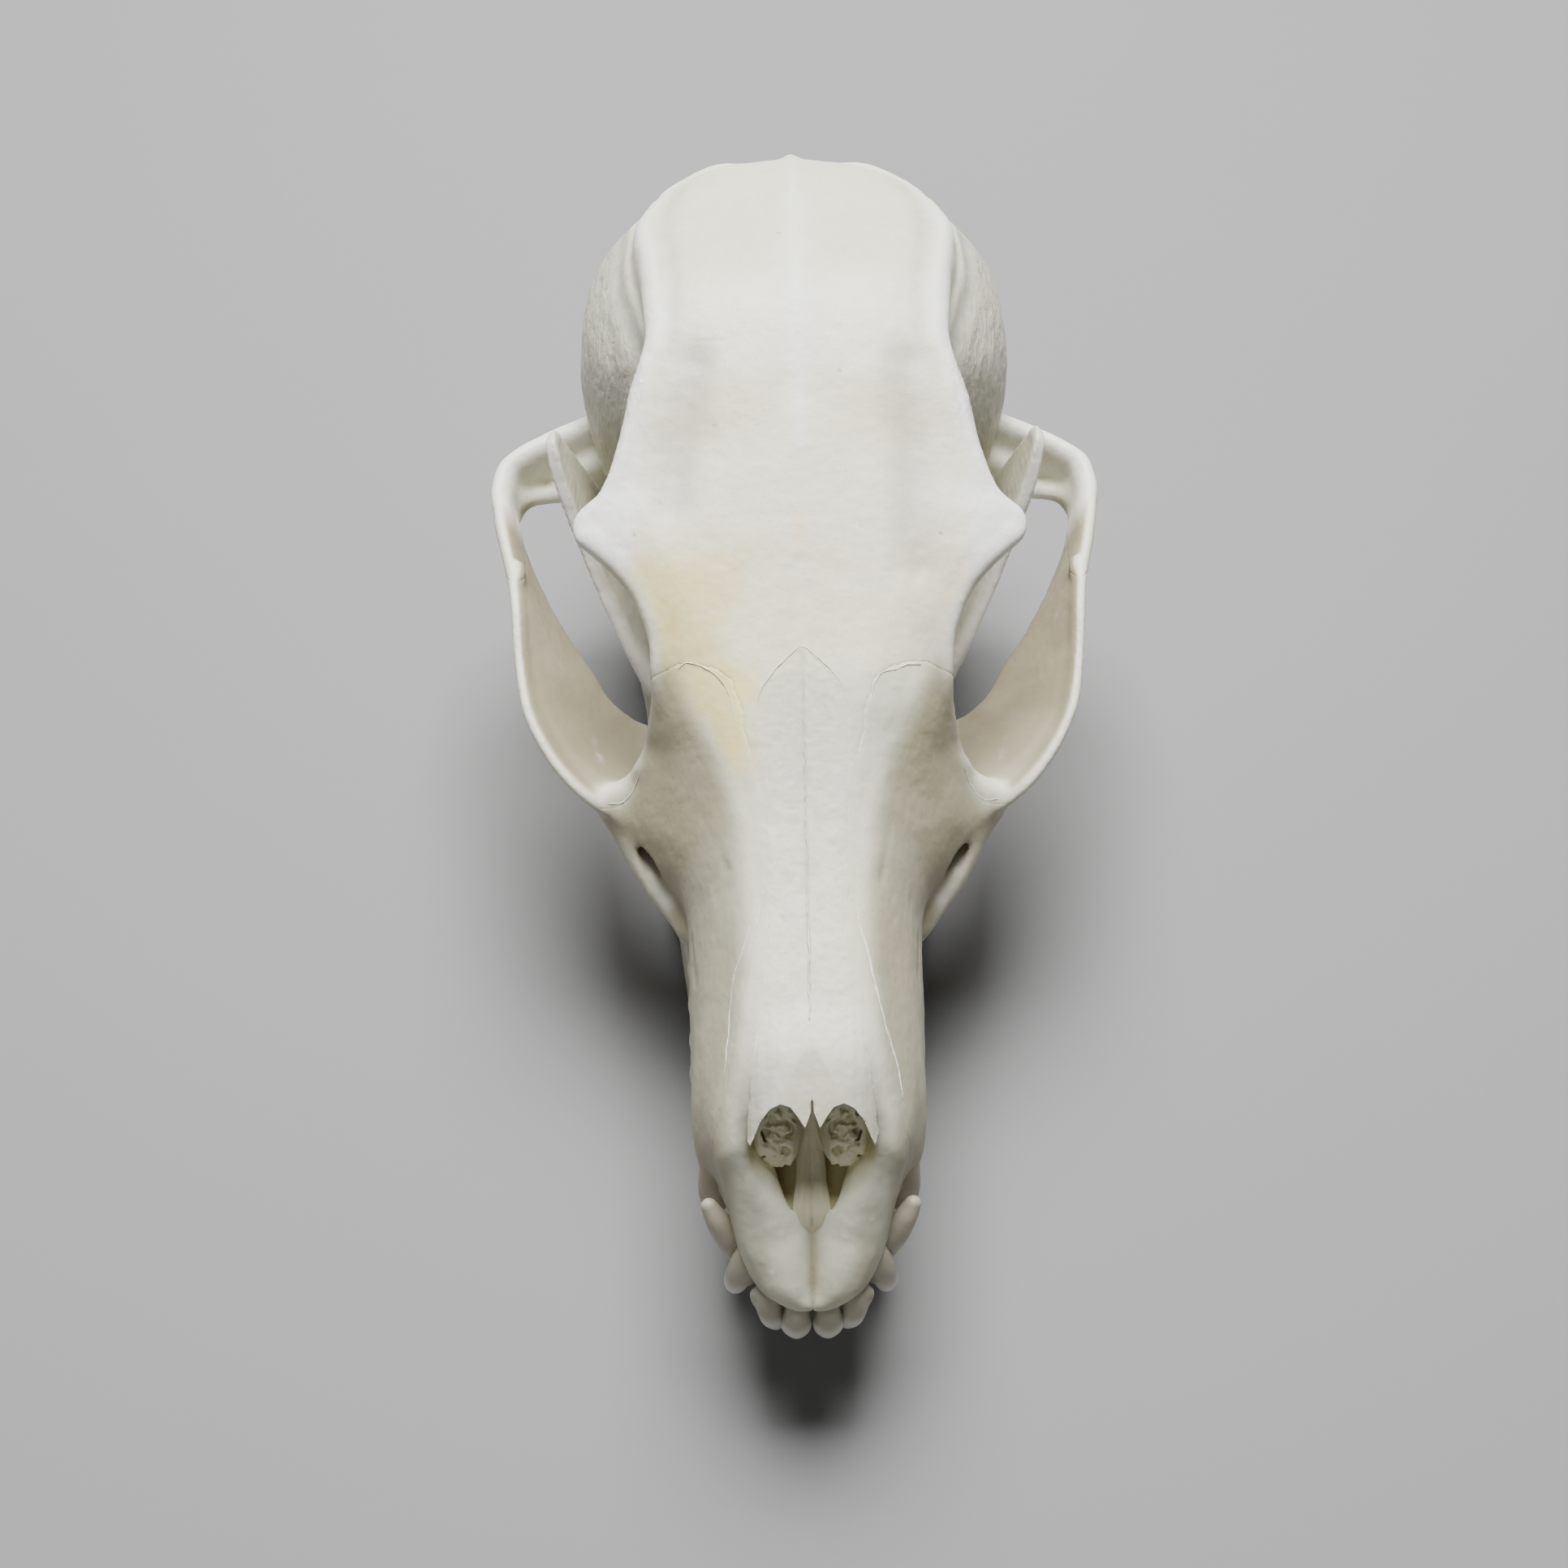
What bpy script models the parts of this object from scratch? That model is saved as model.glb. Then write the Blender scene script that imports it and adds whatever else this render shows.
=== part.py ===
"""Skull of a grey fox with its lower jaw closed, lying on the lower jaw.

Sizes are in skull millimetres: x to the side, s back from the front of the
upper jaw, and z above the line where the upper teeth leave the bone. place()
turns them into metres, with the origin on the ground under the middle. The
braincase, forehead, muzzle and front of the upper jaw are one loft, parted by
thin slanted cuts. The cheek arches and the two halves of the lower jaw are
pieces of their own, and teeth are joined to the bone that they grow from.
"""

import bmesh
import bpy
import numpy as np
from mathutils import Matrix, Vector

MM = 0.001
MIDDLE = 59.475
GROUND = -18.0
CUT = 0.3
SIDES = {"left": 1.0, "right": -1.0}

FRONT_END = -1.5
PREMAXILLA_END = 9.0
MUZZLE_END = 56.4
FOREHEAD_END = 78.0
INION = 121.2
STATION_STEP = 3.6
CUT_HEIGHT = 12.0
ARCH_JOINTS = (2.25, 10.6)

# Each rail is a line along the skull: where it is (s), how far out (x) and how high (z).
CREST_LINE = (
    (-1.5, 0, 0.8), (1, 0, 2.6), (4, 0, 5.2), (7, 0, 9.2), (9.5, 0, 13.2), (11, 0, 15.0),
    (20, 0, 16.3), (30, 0, 17.6), (40, 0, 19.6), (52, 0, 23.2), (64, 0, 28.4), (76, 0, 33.2),
    (88, 0, 37.2), (95, 0, 38.0), (106, 0, 36.4), (113, 0, 33.8), (118, 0, 31.0), (121.2, 0, 29.6),
)
SHOULDER = (
    (-1.5, 1.4, 0.6), (1, 2.6, 2.4), (4, 3.4, 5.2), (7, 3.8, 9.4), (9.5, 3.8, 13.0), (11, 4.2, 14.4),
    (20, 4.6, 15.8), (30, 3.9, 17.2), (40, 4.8, 19.3), (52, 7.2, 23.4), (65, 11.0, 28.8),
    (72, 9.6, 31.4), (80, 7.8, 35.0), (90, 7.4, 37.2), (104, 8.0, 36.3), (112, 7.0, 33.6),
    (118, 3.4, 30.7), (121.2, 0.7, 29.5),
)
RIDGE = (
    (-1.5, 2.4, 0.2), (1, 4.2, 1.8), (4, 5.6, 4.2), (7, 6.1, 8.0), (9, 6.3, 10.8), (16, 7.0, 12.6),
    (24, 7.0, 13.9), (32, 7.5, 15.6), (40, 9.6, 17.4), (46, 12.6, 19.2), (50, 14.0, 20.5),
    (55, 14.2, 22.6), (59, 15.6, 25.0), (63, 19.2, 26.5), (65.3, 21.6, 27.1), (66.3, 21.3, 27.5),
    (68.6, 19.0, 28.4), (72, 17.5, 30.0), (79, 15.9, 32.7), (85, 14.3, 34.7), (93, 14.7, 36.0),
    (100, 15.7, 35.0), (106, 15.2, 33.4), (110.3, 13.8, 32.1), (114.3, 11.1, 31.0),
    (117.3, 7.4, 30.1), (119, 3.4, 29.7), (121.2, 1.2, 29.1),
)
UNDER_RIDGE = (
    (-1.5, 2.8, -0.4), (1, 5.0, 1.0), (4, 6.5, 2.8), (7, 7.5, 5.4), (9, 8.3, 8.0), (16, 9.2, 9.4),
    (32, 9.7, 11.6), (40, 11.6, 13.4), (46, 12.8, 16.0), (50, 12.4, 17.8), (59, 13.0, 22.0),
    (65.5, 14.8, 24.6), (72, 13.9, 27.2), (80, 13.8, 29.8), (88, 15.8, 31.9), (98, 17.9, 31.4),
    (106, 17.9, 30.0), (110.3, 15.8, 29.9), (114.3, 12.2, 29.8), (117.3, 8.1, 29.3),
    (119, 3.5, 29.3), (121.2, 1.2, 28.8),
)
UPPER_WALL = (
    (-1.5, 2.8, -1.0), (1, 5.3, 0.4), (4, 6.9, 1.6), (7, 8.0, 3.2), (9, 8.9, 5.0), (16, 10.4, 6.0),
    (32, 11.4, 7.2), (40, 14.2, 9.0), (45, 15.2, 11.0), (49, 11.4, 13.0), (57, 10.4, 15.6),
    (65.5, 11.2, 18.0), (72, 11.8, 20.8), (76, 12.6, 22.4), (82, 16.0, 25.2), (90, 20.2, 26.6),
    (98, 21.9, 25.6), (104, 21.5, 25.5), (107.5, 20.0, 26.2), (110.3, 18.0, 26.8),
    (113, 15.6, 27.6), (116, 11.0, 28.0), (119, 3.5, 28.9), (121.2, 1.1, 28.6),
)
SIDE_LINE = (
    (-1.5, 2.7, -1.6), (1, 5.2, -0.4), (4, 6.9, 0.4), (7, 8.2, 1.4), (9, 9.2, 2.4), (16, 10.7, 3.0),
    (32, 11.7, 3.7), (35.5, 12.3, 4.0), (40, 15.4, 4.4), (45, 17.2, 6.0), (49, 11.4, 8.6),
    (57, 9.2, 10.0), (65.5, 9.2, 12.0), (72, 10.7, 14.0), (76, 12.6, 15.6), (82, 17.6, 17.6),
    (88, 21.7, 19.0), (95, 22.9, 19.6), (101, 22.7, 19.6), (106, 21.2, 20.0), (110.3, 18.4, 21.2),
    (114.3, 13.6, 23.0), (117.3, 8.4, 25.4), (119, 3.5, 28.5), (121.2, 1.0, 28.4),
)
LOWER_WALL = (
    (-1.5, 2.6, -2.2), (1, 5.0, -1.4), (4, 6.6, -0.8), (7, 7.9, -0.2), (9, 9.1, 0.8), (16, 10.5, 1.0),
    (32, 11.5, 1.0), (38, 13.9, 1.2), (45, 16.2, 2.2), (50, 14.6, 4.4), (57, 14.0, 3.6),
    (61, 8.4, 5.2), (66, 7.6, 7.0), (72, 9.0, 9.0), (80, 14.2, 10.2), (88, 20.2, 11.0),
    (98, 21.4, 11.6), (106, 20.0, 12.2), (110.3, 17.0, 13.6), (114.3, 12.6, 16.4),
    (117.3, 7.8, 21.6), (119, 3.2, 28.2), (121.2, 0.9, 28.2),
)
BASE_EDGE = (
    (-1.5, 2.2, -2.8), (1, 4.3, -2.4), (4, 5.8, -2.0), (7, 7.0, -1.2), (9, 8.4, -0.6), (16, 9.9, -0.5),
    (32, 11.0, -0.6), (38, 12.9, -0.6), (45, 15.2, -0.5), (50, 15.4, -0.3), (57, 14.4, 0.0),
    (61, 7.4, 1.8), (66, 6.4, 5.0), (72, 7.4, 6.9), (80, 10.6, 7.6), (88, 14.6, 8.2),
    (98, 15.4, 8.0), (106, 13.0, 7.6), (111, 10.4, 8.8), (115, 8.4, 12.4), (117.3, 6.4, 18.6),
    (119, 2.6, 27.9), (121.2, 0.7, 28.1),
)
BASE_LINE = (
    (-1.5, 0, -2.6), (1, 0, -2.0), (4, 0, -1.2), (7, 0, 0.0), (11, 0, 1.2), (30, 0, 1.9),
    (57, 0, 2.2), (60, 0, 2.8), (63, 0, 7.2), (76, 0, 7.4), (98, 0, 6.6), (110, 0, 6.8),
    (114, 0, 9.0), (117.3, 0, 17.6), (119, 0, 27.7), (121.2, 0, 28.0),
)
HALF_RAILS = (SHOULDER, RIDGE, UNDER_RIDGE, UPPER_WALL, SIDE_LINE, LOWER_WALL, BASE_EDGE)

# How far each slanted cut leans, as s lost for each millimetre up.
SLANT = ((-1.5, 0.0), (20, 0.0), (56.4, 0.42), (78, 0.0), (121.2, 0.0))

# The cheek arch is a plate: its upper outer edge with the thickness there, and its lower inner edge.
ARCH_UPPER = (
    (15.5, 43.6, 7.4, 3.0), (19.0, 44.8, 8.3, 3.0), (22.6, 47.3, 9.6, 2.9), (25.5, 51.5, 10.6, 2.7),
    (27.7, 56.5, 11.4, 2.6), (28.8, 61.5, 12.2, 2.6), (29.4, 68.0, 13.7, 2.6), (30.2, 73.0, 13.4, 2.6),
    (31.2, 78.0, 12.5, 2.7), (32.2, 83.5, 11.6, 2.9), (32.6, 87.5, 11.4, 3.2), (31.8, 91.0, 11.6, 4.0),
    (29.8, 93.2, 12.0, 5.0), (27.0, 94.4, 12.5, 5.8), (23.6, 95.4, 13.4, 6.0), (19.5, 96.5, 14.0, 6.0),
)
ARCH_LOWER = (
    (12.5, 52.0, 2.6), (14.6, 56.0, 3.0), (17.2, 60.0, 3.8), (18.6, 61.8, 4.0), (19.8, 63.7, 4.0),
    (21.2, 66.7, 4.1), (24.0, 71.0, 4.7), (26.4, 75.0, 5.5), (28.6, 79.5, 6.0), (29.8, 83.3, 5.8),
    (30.4, 87.4, 4.8), (29.6, 91.6, 4.2), (28.0, 93.6, 4.4), (25.6, 94.4, 4.6), (22.6, 95.2, 4.8),
    (18.5, 96.0, 5.0),
)

# Lower jaw: s, inner x, outer x, underside z, upper edge z. The blade flares out above FLARE_FROM.
JAW = (
    (-0.4, 0.15, 3.0, -10.6, -7.2), (2, 0.15, 5.0, -12.6, -6.8), (6, 0.15, 6.9, -14.8, -6.8),
    (12, 0.15, 6.8, -16.5, -7.0), (18, 0.7, 8.3, -17.3, -7.2), (24, 3.6, 9.5, -17.7, -7.1),
    (32, 6.0, 11.3, -17.9, -7.0), (40, 8.2, 13.2, -18.0, -6.9), (52, 10.9, 15.6, -18.0, -6.2),
    (60, 12.6, 16.8, -17.3, -5.0), (66, 13.7, 17.4, -16.2, -2.4), (70, 14.4, 17.8, -15.8, 2.4),
    (74, 15.0, 18.0, -16.2, 7.2), (78, 15.6, 18.4, -17.4, 12.0), (81, 15.9, 18.6, -18.0, 16.0),
    (84.5, 16.2, 18.8, -18.0, 20.0), (86.3, 16.4, 19.0, -17.0, 20.4), (88, 16.6, 19.2, -14.8, 18.6),
    (89.4, 16.7, 19.2, -13.2, 14.0), (90.6, 16.8, 19.3, -12.2, 8.6), (92.2, 17.0, 19.4, -11.2, 4.8),
)
JAW_OUTLINE = (
    (-0.35, 0.0), (0.35, 0.0), (0.86, 0.07), (1.0, 0.3), (1.0, 0.6), (0.85, 0.88), (0.4, 1.0),
    (-0.4, 1.0), (-0.85, 0.88), (-1.0, 0.6), (-1.0, 0.3), (-0.86, 0.07),
)
JAW_STEP = 4.4
FLARE_FROM = -1.0
FLARE = 0.45
BLADE_HALF = 1.0
CONDYLE_RADIUS = 2.4
CONDYLE_ENDS = ((16.4, 94.2, 3.9), (26.0, 93.6, 4.3))

# Teeth: middle x and s, half length, half width, top of the root, tip of the crown.
UPPER_CHEEK_TEETH = (
    (8.9, 17.0, 1.4, 1.0, 1.2, -2.6), (8.9, 23.2, 2.5, 1.2, 1.2, -3.9), (9.7, 30.8, 2.8, 1.3, 1.2, -4.4),
    (12.3, 39.3, 3.6, 1.7, 1.4, -6.2), (13.2, 43.4, 2.6, 1.5, 1.4, -4.8),
)
UPPER_MOLARS = ((12.3, 49.9, 3.2, 3.7, 1.2, -2.7), (12.3, 56.4, 2.3, 3.0, 1.2, -2.3))
UPPER_INCISORS = (
    (1.25, -1.1, 1.15, 0.9, -1.2, -5.9), (3.7, -0.1, 1.2, 1.0, -1.2, -6.0), (6.6, 3.0, 1.3, 1.3, -0.8, -6.1),
)
LOWER_CHEEK_TEETH = (
    (5.2, 13.0, 1.2, 1.0, -7.9, -4.8), (6.4, 19.0, 2.0, 1.1, -8.1, -3.2), (7.7, 26.0, 2.3, 1.2, -8.1, -2.8),
    (9.2, 34.0, 2.5, 1.3, -8.1, -2.6), (10.0, 42.2, 3.4, 1.5, -8.0, -1.6),
)
LOWER_MOLARS = (
    (11.8, 47.6, 2.0, 1.7, -7.8, -4.0), (12.9, 53.4, 2.4, 1.8, -7.4, -3.6), (14.0, 58.4, 1.2, 1.1, -6.8, -3.4),
)
LOWER_INCISORS = (
    (1.0, 1.2, 0.8, 0.7, -8.4, -4.0), (2.8, 1.7, 0.9, 0.75, -8.4, -4.0), (4.4, 3.2, 0.9, 0.8, -8.4, -4.0),
)
# Canines: centres along the tooth and the radius at each.
UPPER_CANINE = ((8.5, 11.6, 3.0, 1.9), (8.9, 11.0, -1.0, 1.8), (9.2, 11.2, -5.0, 1.5),
                (9.1, 12.2, -9.0, 1.0), (8.7, 13.6, -12.4, 0.35))
LOWER_CANINE = ((5.0, 7.0, -10.5, 1.7), (6.9, 5.2, -6.6, 1.9), (8.6, 4.9, -2.6, 1.5),
                (9.4, 5.7, 0.6, 1.0), (9.6, 6.8, 3.0, 0.35))
CLEARANCE = 0.4
KEPT_TRIANGLES = 0.7

BONE = {"colour": (0.83, 0.78, 0.68, 1.0), "roughness": 0.55}


def place(x, s, z):
    """A point given in skull millimetres, in metres."""
    return Vector((x * MM, (s - MIDDLE) * MM, (z - GROUND) * MM))


def slopes(at, values):
    """Slopes at the knots that keep a cubic between them free of overshoot."""
    step = np.diff(at)
    rise = np.diff(values) / step
    found = np.zeros(len(at))
    found[0], found[-1] = rise[0], rise[-1]
    for i in range(1, len(at) - 1):
        if rise[i - 1] * rise[i] > 0:
            weights = (2 * step[i] + step[i - 1], step[i] + 2 * step[i - 1])
            found[i] = sum(weights) / (weights[0] / rise[i - 1] + weights[1] / rise[i])
    return found


def smooth(knots, column, where):
    """Column of the knots, read between them at where along their first column."""
    at = np.array([knot[0] for knot in knots], float)
    values = np.array([knot[column] for knot in knots], float)
    slope = slopes(at, values)
    where = np.clip(where, at[0], at[-1])
    i = np.clip(np.searchsorted(at, where, side="right") - 1, 0, len(at) - 2)
    step = at[i + 1] - at[i]
    t = (where - at[i]) / step
    return (
        (1 + 2 * t) * (1 - t) ** 2 * values[i]
        + t * (1 - t) ** 2 * step * slope[i]
        + t * t * (3 - 2 * t) * values[i + 1]
        + t * t * (t - 1) * step * slope[i + 1]
    )


def rounded(ring, times=1):
    """A closed ring with a point added between each two, on a smooth curve."""
    ring = np.array(ring)
    for _ in range(times):
        before, after = np.roll(ring, 1, axis=0), np.roll(ring, -1, axis=0)
        beyond = np.roll(ring, -2, axis=0)
        between = (9 * (ring + after) - before - beyond) / 16
        ring = np.stack([ring, between], axis=1).reshape(-1, 3)
    return ring


def on_cut(rail, station):
    """Where a rail meets the cut of a station, as (x, s, z)."""
    slant = smooth(SLANT, 1, station)
    s = station
    for _ in range(40):
        s = 0.5 * s + 0.5 * (station - slant * (smooth(rail, 2, s) - CUT_HEIGHT))
    return smooth(rail, 1, s), s, smooth(rail, 2, s)


def skull_ring(station):
    """The skull's outline on the cut of a station, right side down and left side up."""
    right = [on_cut(rail, station) for rail in HALF_RAILS]
    left = [(-x, s, z) for x, s, z in reversed(right)]
    return rounded([on_cut(CREST_LINE, station), *right, on_cut(BASE_LINE, station), *left])


def stations(first, last, step, extra=()):
    """Even stations from first to last, with some more where the shape turns fast."""
    even = np.linspace(first, last, max(3, round((last - first) / step) + 1))
    return sorted({*even, *(s for s in extra if first < s < last)})


def new_object(name, bm, collection):
    """An object that takes the shape in bm, facing outwards."""
    bm.normal_update()
    bmesh.ops.recalc_face_normals(bm, faces=bm.faces)
    mesh = bpy.data.meshes.new(name)
    bm.to_mesh(mesh)
    bm.free()
    mesh.shade_smooth()
    obj = bpy.data.objects.new(name, mesh)
    collection.objects.link(obj)
    return obj


def loft(name, rings, collection):
    """A closed solid through rings of the same number of points, in skull millimetres."""
    bm = bmesh.new()
    rows = [[bm.verts.new(place(*point)) for point in ring] for ring in rings]
    for near, far in zip(rows, rows[1:]):
        for i in range(len(near)):
            bm.faces.new((near[i], near[i - 1], far[i - 1], far[i]))
    bm.faces.new(rows[0])
    bm.faces.new(list(reversed(rows[-1])))
    return new_object(name, bm, collection)


def ball(name, centre, radii, collection, turn=0.0):
    """An egg shape with its own radius along each axis, nodded by turn."""
    bm = bmesh.new()
    bmesh.ops.create_uvsphere(bm, u_segments=12, v_segments=8, radius=1.0)
    size = Matrix.Diagonal((radii[0] * MM, radii[1] * MM, radii[2] * MM, 1.0))
    nod = Matrix.Rotation(turn, 4, "X")
    bm.transform(Matrix.Translation(place(*centre)) @ nod @ size)
    return new_object(name, bm, collection)


def peg(name, start, end, radii, collection, sides=8, flat=1.0):
    """A straight round peg from start to end, with its radius at both, narrowed by flat across."""
    bm = bmesh.new()
    first, last = place(*start), place(*end)
    axis = last - first
    bmesh.ops.create_cone(
        bm,
        cap_ends=True,
        segments=sides,
        radius1=radii[0] * MM,
        radius2=radii[1] * MM,
        depth=axis.length,
    )
    bm.transform(Matrix.Diagonal((flat, 1.0, 1.0, 1.0)))
    turn = axis.to_track_quat("Z", "Y").to_matrix().to_4x4()
    bm.transform(Matrix.Translation((first + last) / 2) @ turn)
    return new_object(name, bm, collection)


def crown(name, tooth, side, tip_share, collection, sides=8):
    """One tooth: a tapered peg with an oval base, its long way along the row."""
    x, s, half_length, half_width, top, tip = tooth
    bm = bmesh.new()
    bmesh.ops.create_cone(
        bm, cap_ends=True, segments=sides, radius1=1.0, radius2=tip_share, depth=1.0
    )
    size = (half_width * MM, half_length * MM, (tip - top) * MM, 1.0)
    bm.transform(Matrix.Translation(place(side * x, s, (top + tip) / 2)) @ Matrix.Diagonal(size))
    return new_object(name, bm, collection)


def fang(name, centres, side, collection, grow=0.0):
    """A curved canine, thinner towards its tip."""
    turns = np.linspace(0.0, 2 * np.pi, 8, endpoint=False)
    rings = []
    for x, s, z, radius in centres:
        radius += grow
        rings.append(
            [(side * x + 0.85 * radius * np.cos(a), s + 1.15 * radius * np.sin(a), z) for a in turns]
        )
    return loft(name, rings, collection)


def boolean(body, other, operation):
    """Join a shape to body, or cut it out."""
    modifier = body.modifiers.new(other.name, "BOOLEAN")
    modifier.object = other
    modifier.operation = operation
    modifier.solver = "EXACT"
    other.hide_render = True
    other.display_type = "WIRE"


def join(body, *others):
    """Join shapes to body."""
    for other in others:
        boolean(body, other, "UNION")


def cut(body, *others):
    """Cut shapes out of body."""
    for other in others:
        boolean(body, other, "DIFFERENCE")


def thin_out(body, share):
    """Keep this share of the triangles, where the surface bends least."""
    modifier = body.modifiers.new("thin_out", "DECIMATE")
    modifier.ratio = share


def skull_length(name, first, last, collection, extra=()):
    """The stretch of the skull between two stations, less half a cut at each."""
    rings = [skull_ring(s) for s in stations(first, last, STATION_STEP, extra)]
    return loft(name, rings, collection)


def arch_ring(place_along, side):
    """The outline of the cheek arch where place_along counts its points."""
    knots = range(len(ARCH_UPPER))
    upper, lower = (
        np.array(
            [smooth([(i, edge[i][axis]) for i in knots], 1, place_along) for axis in range(3)]
        )
        for edge in (ARCH_UPPER, ARCH_LOWER)
    )
    ahead, behind = (
        np.array([smooth([(i, ARCH_UPPER[i][k]) for i in knots], 1, p) for k in range(3)])
        for p in (place_along + 0.3, place_along - 0.3)
    )
    down = lower - upper
    across = np.cross(ahead - behind, down)
    across *= smooth([(i, ARCH_UPPER[i][3]) for i in knots], 1, place_along) / 2 / np.linalg.norm(across)
    outline = (
        (0.0, 0.0), (0.05, 0.6), (0.2, 1.0), (0.5, 0.95), (0.8, 0.8), (0.95, 0.5),
        (1.0, 0.0), (0.95, -0.5), (0.8, -0.8), (0.5, -0.95), (0.2, -1.0), (0.05, -0.6),
    )
    ring = [upper + v * down + u * across for v, u in outline]
    return [(side * x, s, z) for x, s, z in ring]


def arch_length(name, first, last, side, collection):
    """A stretch of a cheek arch."""
    steps = np.linspace(first, last, max(3, round((last - first) * 1.5) + 1))
    return loft(name, [arch_ring(step, side) for step in steps], collection)


def jaw_ring(s, side):
    """The outline of the lower jaw at s: a flat underside, and a blade that flares out."""
    inner, outer, low, high = (smooth(JAW, column, s) for column in (1, 2, 3, 4))
    middle, half = (inner + outer) / 2, (outer - inner) / 2
    ring = []
    for across, up in JAW_OUTLINE:
        z = low + up * (high - low)
        thin = np.clip((z + 5.0) / 8.0, 0.0, 1.0)
        width = half + (min(half, BLADE_HALF) - half) * thin
        flare = FLARE * max(z - FLARE_FROM, 0.0)
        ring.append((side * (middle + flare + across * width), s, z))
    return ring


def make_premaxilla(collection, helpers):
    """The front of the upper jaw, with the incisors."""
    body = skull_length("premaxilla", FRONT_END, PREMAXILLA_END - CUT / 2, collection, (-0.6, 0.4))
    for word, side in SIDES.items():
        for i, tooth in enumerate(UPPER_INCISORS, 1):
            join(body, crown(f"upper_incisor_{i}_{word}", tooth, side, 0.5, helpers))
    return body


def make_muzzle(collection, helpers):
    """The muzzle down to the eyes, with the upper canines, cheek teeth and arch roots."""
    body = skull_length(
        "muzzle", PREMAXILLA_END + CUT / 2, MUZZLE_END - CUT / 2, collection, (44, 46, 47.2, 48.4, 50)
    )
    for word, side in SIDES.items():
        root = ARCH_JOINTS[0] - CUT / 20
        join(body, arch_length(f"front_root_{word}", 0.0, root, side, helpers))
        join(body, fang(f"upper_canine_{word}", UPPER_CANINE, side, helpers))
        for i, tooth in enumerate(UPPER_CHEEK_TEETH, 1):
            join(body, crown(f"upper_cheek_tooth_{i}_{word}", tooth, side, 0.22, helpers))
        for i, tooth in enumerate(UPPER_MOLARS, 1):
            join(body, crown(f"upper_molar_{i}_{word}", tooth, side, 0.75, helpers))
        canal = peg(f"cheek_hole_{word}", (side * 14.2, 36.0, 3.0), (side * 17.0, 50.0, 9.6),
                    (1.5, 1.5), helpers, flat=0.75)
        cut(body, canal)
    return body


def make_forehead(collection, helpers):
    """The forehead between the eyes, with the points behind them and the wings under the throat."""
    body = skull_length(
        "forehead", MUZZLE_END + CUT / 2, FOREHEAD_END - CUT / 2, collection,
        (62.5, 64.4, 66.2, 67.2, 68.4),
    )
    for word, side in SIDES.items():
        rings = []
        for s, top, low, half in ((61.6, 5.0, 1.0, 0.9), (66, 8.4, -0.4, 0.8), (72, 9.0, 0.2, 0.8), (77.4, 9.4, 4.6, 0.9)):
            x = side * (6.2 + 0.05 * (s - 61.6))
            rings.append([(x - half, s, low), (x + half, s, low), (x + half, s, top), (x - half, s, top)])
        join(body, loft(f"wing_{word}", rings, helpers))
    return body


def make_braincase(collection, helpers):
    """The braincase, with the rear arch roots, ear capsules, condyles and side processes."""
    body = skull_length(
        "braincase", FOREHEAD_END + CUT / 2, INION, collection, (116.2, 117.3, 118.0, 118.6, 119.2, 120.2)
    )
    for word, side in SIDES.items():
        root = ARCH_JOINTS[1] + CUT / 8
        last = len(ARCH_UPPER) - 1
        join(
            body,
            arch_length(f"rear_root_{word}", root, last, side, helpers),
            ball(f"ear_capsule_{word}", (side * 11.2, 101.0, 1.6), (6.3, 9.2, 7.4), helpers),
            ball(f"condyle_{word}", (side * 6.0, 114.8, 10.2), (3.4, 4.2, 4.8), helpers),
            peg(f"socket_back_{word}", (side * 21.4, 97.6, 8.0), (side * 21.0, 97.9, 0.8), (1.5, 0.9), helpers),
            peg(f"side_process_{word}", (side * 13.0, 108.6, 12.0), (side * 13.4, 110.5, -2.0), (2.8, 1.1), helpers),
            ball(f"mastoid_{word}", (side * 17.2, 105.6, 11.0), (3.0, 3.6, 4.4), helpers),
        )
        grown = CONDYLE_RADIUS + CLEARANCE
        ends = [(side * x, s, z) for x, s, z in CONDYLE_ENDS]
        cut(body, peg(f"jaw_socket_{word}", ends[0], ends[1], (grown, grown), helpers, 16))
    cut(body, ball("spine_hole", (0.0, 118.4, 14.0), (5.2, 9.0, 4.4), helpers, turn=0.4))
    return body


def make_arch(word, side, collection):
    """The free stretch of a cheek arch."""
    first, last = ARCH_JOINTS[0] + CUT / 20, ARCH_JOINTS[1] - CUT / 8
    return arch_length(f"cheek_arch_{word}", first, last, side, collection)


def make_lower_jaw(word, side, collection, helpers):
    """One half of the lower jaw with its teeth."""
    turns = (-0.4, 0.6, 3.6, 84.5, 86.3, 87.4, 88.0, 88.8, 89.4, 90.0, 90.6, 91.4)
    rings = [jaw_ring(s, side) for s in stations(-0.4, 92.2, JAW_STEP, (*turns, 40.0, 52.0, 81.0))]
    body = loft(f"lower_jaw_{word}", rings, collection)
    ends = [(side * x, s, z) for x, s, z in CONDYLE_ENDS]
    join(
        body,
        peg(f"jaw_condyle_{word}", ends[0], ends[1], (CONDYLE_RADIUS, CONDYLE_RADIUS), helpers, 16),
        peg(f"jaw_angle_{word}", (side * 18.0, 89.0, -9.6), (side * 17.6, 98.6, -6.6), (2.8, 0.8), helpers, flat=0.5),
        fang(f"lower_canine_{word}", LOWER_CANINE, side, helpers),
    )
    for i, tooth in enumerate(LOWER_CHEEK_TEETH, 1):
        join(body, crown(f"lower_cheek_tooth_{i}_{word}", tooth, side, 0.22, helpers))
    for i, tooth in enumerate(LOWER_MOLARS, 1):
        join(body, crown(f"lower_molar_{i}_{word}", tooth, side, 0.7, helpers))
    for i, tooth in enumerate(LOWER_INCISORS, 1):
        join(body, crown(f"lower_incisor_{i}_{word}", tooth, side, 0.6, helpers))
    return body


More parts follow.
